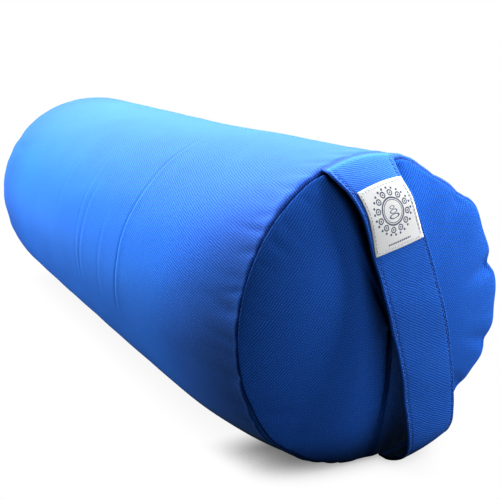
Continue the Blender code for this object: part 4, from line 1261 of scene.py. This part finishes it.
def zip_threads(side, word):
    """Stitches over the coil, and the topstitching of the cover's edge."""
    path = zip_at(np.linspace(5.6, 444.4, 500), side * 2.15, 0.0)
    parts, _ = stitches(path, ZIP_OUT, length=1.2, gap=0.3, radius=0.13, sink=0.10, lift=0.14)
    ride_bolster(make("zip_coil_thread_" + word, *parts, BLUE_THREAD), "sewing_thread")
    x = np.linspace(ZIP_X[0] - 3.0, ZIP_X[1] + 3.0, 700)
    deg = ZIP_ANGLE + side * np.degrees(7.15 / barrel_radius(x))
    path = place(x, barrel_radius(x) + barrel_relief(x, deg), deg)
    out = np.stack([0.0 * x, np.cos(np.radians(deg)), np.sin(np.radians(deg))], -1)
    parts, _ = stitches(path, out, length=2.6, gap=0.8, radius=0.34, sink=0.40, lift=0.34)
    ride_bolster(make("zip_seam_stitches_" + word, *parts, BLUE_THREAD), "sewing_thread",
                 "zip_topstitch_" + word)


for side, word in ((1.0, "upper"), (-1.0, "lower")):
    zip_tape(side, word)
    zip_coil(side, word)
    zip_threads(side, word)


def metal(name, base, rough, brushed):
    """Cast and tumbled zinc: fine scratches along X, slightly uneven polish."""
    shader = material_shader(name)
    position = shader.position()
    stretched = shader.add("ShaderNodeMapping",
                           {"Vector": position, "Scale": (600.0, 2600.0, 2600.0)})
    scratches = shader.noise(stretched, scale=1.0, detail=3.0, rough=0.6)
    patches = shader.noise(position, scale=420.0, detail=3.0, rough=0.55)
    return shader.surface({
        "Base Color": shader.mix(patches.rise(over=(0.3, 0.7)), tint(base, 0.82), base),
        "Metallic": 1.0,
        "Roughness": scratches.times_plus(brushed, rough, clamp=True),
        "Normal": shader.bump(scratches, distance=0.00002, strength=0.5)})


def finish_node(name, material, bevel=0.0):
    """A CAD node kept as it is, with its own finish and, on hard parts, rounded edges."""
    node = NODES[name]
    node.data.materials.clear()
    node.data.materials.append(material)
    if bevel:
        rounding = node.modifiers.new("rounded edges", "BEVEL")
        rounding.width = bevel * MM
        rounding.segments = 3
        rounding.limit_method = "ANGLE"
        rounding.angle_limit = math.radians(30.0)
        rounding.harden_normals = False
        shading = node.modifiers.new("shading", "WEIGHTED_NORMAL")
        shading.keep_sharp = True


ZINC = metal("zip_zinc", (0.66, 0.67, 0.69), rough=0.22, brushed=0.16)
STOP_ZINC = metal("zip_stop_zinc", (0.60, 0.61, 0.63), rough=0.28, brushed=0.18)
finish_node("zip_slider", ZINC, bevel=0.28)
finish_node("zip_pull", ZINC, bevel=0.30)
finish_node("zip_stop_front", STOP_ZINC, bevel=0.25)
finish_node("zip_stop_rear", STOP_ZINC, bevel=0.25)

# =================================================================================================
# inner cushion and the parts inside the cover
# =================================================================================================
CALICO = plain_weave("liner_calico_weave", (0.78, 0.74, 0.64), pitch=0.7, contrast=0.45,
                     rough=0.9, depth=0.10, spots=0.5).owner
INNER_DEGS = np.arange(0.0, 360.0, 4.0)
INNER_X = np.array(steps_between(
    [-HALF + 9.0, ZIP_X[0] - 35.0, ZIP_X[0], 0.0, ZIP_X[1], ZIP_X[1] + 30.0, HALF - 8.0], 11.0,
    ((-HALF, 12.0, 4.0), (HALF, 12.0, 3.0))))[:, None]
# the inner ends' rows, from rim to middle, as shares of the radius
END_SHARES = np.array([0.955, 0.90, 0.84, 0.76, 0.66, 0.54, 0.40, 0.26, 0.13, 0.04])[:, None]


def wadding():
    """Fluffed cotton: soft lumps with loose fibres."""
    shader = material_shader("cotton_wadding")
    position = shader.position()
    lumps = shader.noise(position, scale=38.0, detail=4.0, rough=0.6)
    fibre = shader.noise(position, scale=900.0, detail=5.0, rough=0.7, distortion=1.4)
    hollow, crest = (0.74, 0.70, 0.62), (0.90, 0.88, 0.82)
    soft = shader.bump(lumps, distance=0.004, strength=0.8)
    return shader.surface({
        "Base Color": shader.mix(fibre.rise(over=(0.3, 0.7)), hollow, crest),
        "Roughness": 1.0,
        "Sheen Weight": 0.3,
        "Normal": shader.bump(fibre, distance=0.0006, strength=0.8, normal=soft)})


def solid_weave(name, base, frequency):
    """Close woven cloth for a CAD node without flat coordinates: worked out in object space."""
    shader = material_shader(name)
    position = shader.position()
    x, y, z = ((axis * frequency).math("SINE") for axis in shader.separate(position))
    height = (x * (y + z)).times_plus(0.25, 0.5)
    height = height.varied(shader.noise(position, scale=900.0, detail=3.0), by=0.6, clamp=True)
    return shader.surface({
        "Base Color": shader.mix(height, tint(base, 0.75), tint(base, 1.12)),
        "Roughness": 0.85,
        "Normal": shader.bump(height, distance=0.0001, strength=0.7)})


def sunk(x, deg, depth):
    """Radius of an inner layer: it follows the cover's hollows and gives way behind the zip."""
    along = smooth(ZIP_X[0] - 35.0, ZIP_X[0] - 12.0, x) * (
        1.0 - smooth(ZIP_X[1] + 12.0, ZIP_X[1] + 30.0, x))
    give = ZIP_RECESS * (1.0 - smooth(10.0, 19.0, np.abs(off_angle(deg, ZIP_ANGLE)))) * along
    return barrel_radius(x) - depth - give + np.minimum(barrel_relief(x, deg), 0.0) - 0.4


def inner_layer(depth):
    return place(INNER_X, sunk(INNER_X, INNER_DEGS, depth), INNER_DEGS, depth + 0.5)


def ringed_body(name, grid, material, tube_like):
    """Body from rows round the axis: a hollow wall, or a solid with a point at each end."""
    rows, cols = grid.shape[:2]
    faces, face_rows, face_cols = quads(rows, cols, wrap_rows=tube_like)
    steps = np.linalg.norm(np.diff(np.concatenate([grid, grid[:1]]), axis=0), axis=2).mean(1)
    run = np.concatenate([[0.0], np.cumsum(steps)])
    uv = np.stack([run[face_rows], face_cols * FULL_TURN * 110.0 / cols], -1).reshape(-1, 2)
    faces, points = faces.tolist(), grid.reshape(-1, 3)
    if not tube_like:
        points = np.concatenate([points, grid[0].mean(0)[None], grid[-1].mean(0)[None]])
        faces += end_fans(rows, cols)
        uv = np.concatenate([uv, np.zeros((6 * cols, 2))])
    return make(name, points, faces, uv, material)


def end_rows(sign, seam_radius, rise, back, shrink=0.0):
    """Rows of an inner end from its rim to near its middle, set back from the cover."""
    share = END_SHARES
    dome = max(0.0, rise - 5.0) * (1.0 - share * share) ** 0.9 * smooth(1.0, 0.72, share)
    radius = (seam_radius - 6.0 - shrink) * share + 0.0 * INNER_DEGS
    if sign > 0:
        radius = radius + np.minimum(lobes(INNER_DEGS), 0.0) * share ** 4
    return place(sign * (HALF - 3.0 - back + dome), radius, INNER_DEGS, 3.8)


def liner_end(sign, word, seam_radius, rise):
    """A thin disc: its outer face from rim to middle, then its inner face from middle to rim."""
    outer = end_rows(sign, seam_radius, rise, back=0.0)
    inner = end_rows(sign, seam_radius, rise, back=0.8)[::-1]
    count, cols = outer.shape[:2]
    grid = np.concatenate([outer, inner])
    points = np.concatenate([grid.reshape(-1, 3), outer[-1].mean(0)[None], inner[0].mean(0)[None]])
    faces, face_rows, face_cols = quads(2 * count, cols, wrap_rows=True)
    keep = face_rows[:, 0] != count - 1        # each face is closed by its own fan instead
    angle = np.radians(INNER_DEGS)[face_cols % cols]
    radius = np.linalg.norm(grid[:, 0] - grid[count - 1, 0], axis=-1)[face_rows % (2 * count)]
    uv = np.stack([radius * np.cos(angle), radius * np.sin(angle)], -1)[keep].reshape(-1, 2)
    faces = faces[keep].tolist()
    outer_ring, inner_ring, middle = (count - 1) * cols, count * cols, 2 * count * cols
    for col in range(cols):
        after = (col + 1) % cols
        faces.append([middle, outer_ring + col, outer_ring + after])
        faces.append([middle + 1, inner_ring + after, inner_ring + col])
    piece = make("liner_end_" + word, points, faces,
                 np.concatenate([uv, np.zeros((6 * cols, 2))]), CALICO)
    ride_bolster(piece, "liner_calico", "liner_end_panel_" + word)


def build_filling():
    """Cotton just inside the liner, a little lumpy."""
    lumps = [(rng.integers(1, 5), rng.uniform(0.01, 0.05), rng.uniform(0, 6.28),
              rng.uniform(0, 6.28)) for _ in range(10)]
    x, deg = INNER_X[1:-1], INNER_DEGS[None, :]
    radius = sunk(x, deg, 2.9) - 1.2 + sum(
        0.10 * np.sin(turns * np.radians(deg) + phase) * np.sin(frequency * x + phase_x)
        for turns, frequency, phase, phase_x in lumps)
    grid = np.concatenate([
        end_rows(-1.0, SEAM_R_REAR, DOME_REAR, back=3.4, shrink=6.0)[::-1],
        place(x, radius, deg, 3.9),
        end_rows(1.0, SEAM_R_FRONT, DOME_FRONT, back=3.4, shrink=6.0)])
    ride_bolster(ringed_body("cotton_filling_body", grid, wadding(), tube_like=False),
                 "cotton_filling", "filling")


liner_wall = np.concatenate([inner_layer(1.5), inner_layer(2.3)[::-1]])
ride_bolster(ringed_body("liner_barrel", liner_wall, CALICO, tube_like=True),
             "liner_calico", "liner_barrel_panel")
liner_end(1.0, "front", SEAM_R_FRONT, DOME_FRONT)
liner_end(-1.0, "rear", SEAM_R_REAR, DOME_REAR)
build_filling()
for word in ("front", "rear"):
    finish_node("cover_seam_overlock_" + word,
                solid_weave(f"overlock_{word}_threads", (0.05, 0.17, 0.60), frequency=5200.0))
finish_node("care_label",
            solid_weave("care_label_satin_weave", (0.86, 0.87, 0.88), frequency=9000.0))


# =================================================================================================
# floor, light, camera (metres)
# =================================================================================================
def floor_material():
    """White to the camera, with a painted soft grey shadow where the bolster rests; dark grey to other
    rays.
    """
    shader = material_shader("studio_floor")
    floor_with_painted_shadow = shader.open_air(samples=16, distance=0.04).rise(over=(0.03, 0.70), low=0.18)
    x, y, _ = shader.separate(shader.position())
    # painted shadow: strongest under the handle end, and along the +Y side
    under_end = x.rise(over=(0.215, 0.255), low=0.10) * x.fall(over=(0.277, 0.335), low=0.12)
    plus_y = y.rise(over=(0.0, 0.05), high=0.85) * x.fall(over=(0.26, 0.33))
    painted_shadow_strength = under_end.math("MAXIMUM", plus_y)
    floor_with_painted_shadow = (floor_with_painted_shadow - 1.0).times_plus(painted_shadow_strength, 1.0)
    grain = shader.noise(shader.position(), scale=3.0, detail=3.0)
    floor_with_painted_shadow = floor_with_painted_shadow * grain.times_plus(0.01, 0.995)
    white = shader.add("ShaderNodeEmission",
                       {"Color": shader.combine(floor_with_painted_shadow, floor_with_painted_shadow, floor_with_painted_shadow), "Strength": 1.0})
    grey = shader.add("ShaderNodeBsdfDiffuse", {"Color": (0.05, 0.052, 0.056, 1.0)})
    output = shader.tree.nodes["Material Output"]
    shader.put(output.inputs[0], shader.camera_pick(others=grey, camera=white))
    return shader.owner


def build_floor():
    half_side, z = 30, -0.0004
    corners = [(-half_side, -half_side, z), (half_side, -half_side, z),
               (half_side, half_side, z), (-half_side, half_side, z)]
    mesh = bpy.data.meshes.new("floor")
    mesh.from_pydata(corners, [], [(0, 1, 2, 3)])
    floor = bpy.data.objects.new("floor", mesh)
    bpy.context.scene.collection.objects.link(floor)
    mesh.materials.append(floor_material())


# square soft lights: name, place, watts
LIGHTS = (
    ("behind_low", (-1.172, -0.856, 0.277), 27.5),
    ("behind_left", (-1.257, -0.476, 0.682), 7.5),
    ("end_right", (0.745, 1.204, 0.682), 20.5),
    ("right", (0.05, 1.061, 1.181), 3.8),
    ("over_end_right", (0.242, 0.528, 1.511), 14.5),
    ("over_right", (-0.38, 0.361, 1.511), 25.0),
    ("over_left", (-0.437, -0.281, 1.511), 36.0),
    ("overhead", (0.102, 0.0, 1.619), 6.0),
    ("end_low", (1.535, 0.0, 0.329), 2.0),
    ("end_low_right", (1.446, 0.508, 0.329), 2.7))
LIGHT_SIDE = 0.5
LIGHT_TARGET = (0.05, 0.0, 0.12)


def add_lights():
    for name, at, power in LIGHTS:
        light = bpy.data.lights.new(name, "AREA")
        light.shape = "RECTANGLE"
        light.size = LIGHT_SIDE
        light.size_y = LIGHT_SIDE
        light.energy = power
        light.spread = math.pi
        lamp = bpy.data.objects.new(name, light)
        lamp.location = at
        aim = Vector(LIGHT_TARGET) - Vector(at)
        lamp.rotation_euler = aim.to_track_quat("-Z", "Y").to_euler()
        bpy.context.scene.collection.objects.link(lamp)


def build_world():
    """Faint white fill light, seen by the camera as plain white."""
    shader = Shader(bpy.data.worlds.new("studio"))
    bpy.context.scene.world = shader.owner
    white = (1.0, 1.0, 1.0, 1.0)
    fill = shader.tree.nodes["Background"]
    fill.inputs["Color"].default_value = white
    fill.inputs["Strength"].default_value = 0.02
    plain = shader.add("ShaderNodeBackground", {"Color": white})
    pick = shader.camera_pick(others=Value(shader, fill.outputs[0]), camera=plain)
    shader.put(shader.tree.nodes["World Output"].inputs[0], pick)


def add_camera():
    lens = bpy.data.cameras.new("camera")
    camera = bpy.data.objects.new("camera", lens)
    bpy.context.scene.collection.objects.link(camera)
    bpy.context.scene.camera = camera
    lens.lens = 67.93
    lens.sensor_width = 36.0
    lens.clip_start = 0.01
    lens.clip_end = 50.0
    camera.location = (0.843914, -0.378910, 0.348719)
    # direction back from the view: turned from -Y towards +X, and raised
    turn, raised = math.radians(61.8326), math.radians(15.4220)
    back = Vector((math.sin(turn) * math.cos(raised), -math.cos(turn) * math.cos(raised),
                   math.sin(raised)))
    camera.rotation_mode = "QUATERNION"
    camera.rotation_quaternion = (-back).to_track_quat("-Z", "Y")


build_floor()
add_lights()
build_world()
add_camera()
view = bpy.context.scene.view_settings
view.view_transform = "Standard"
view.look = "None"
view.gamma = 0.88
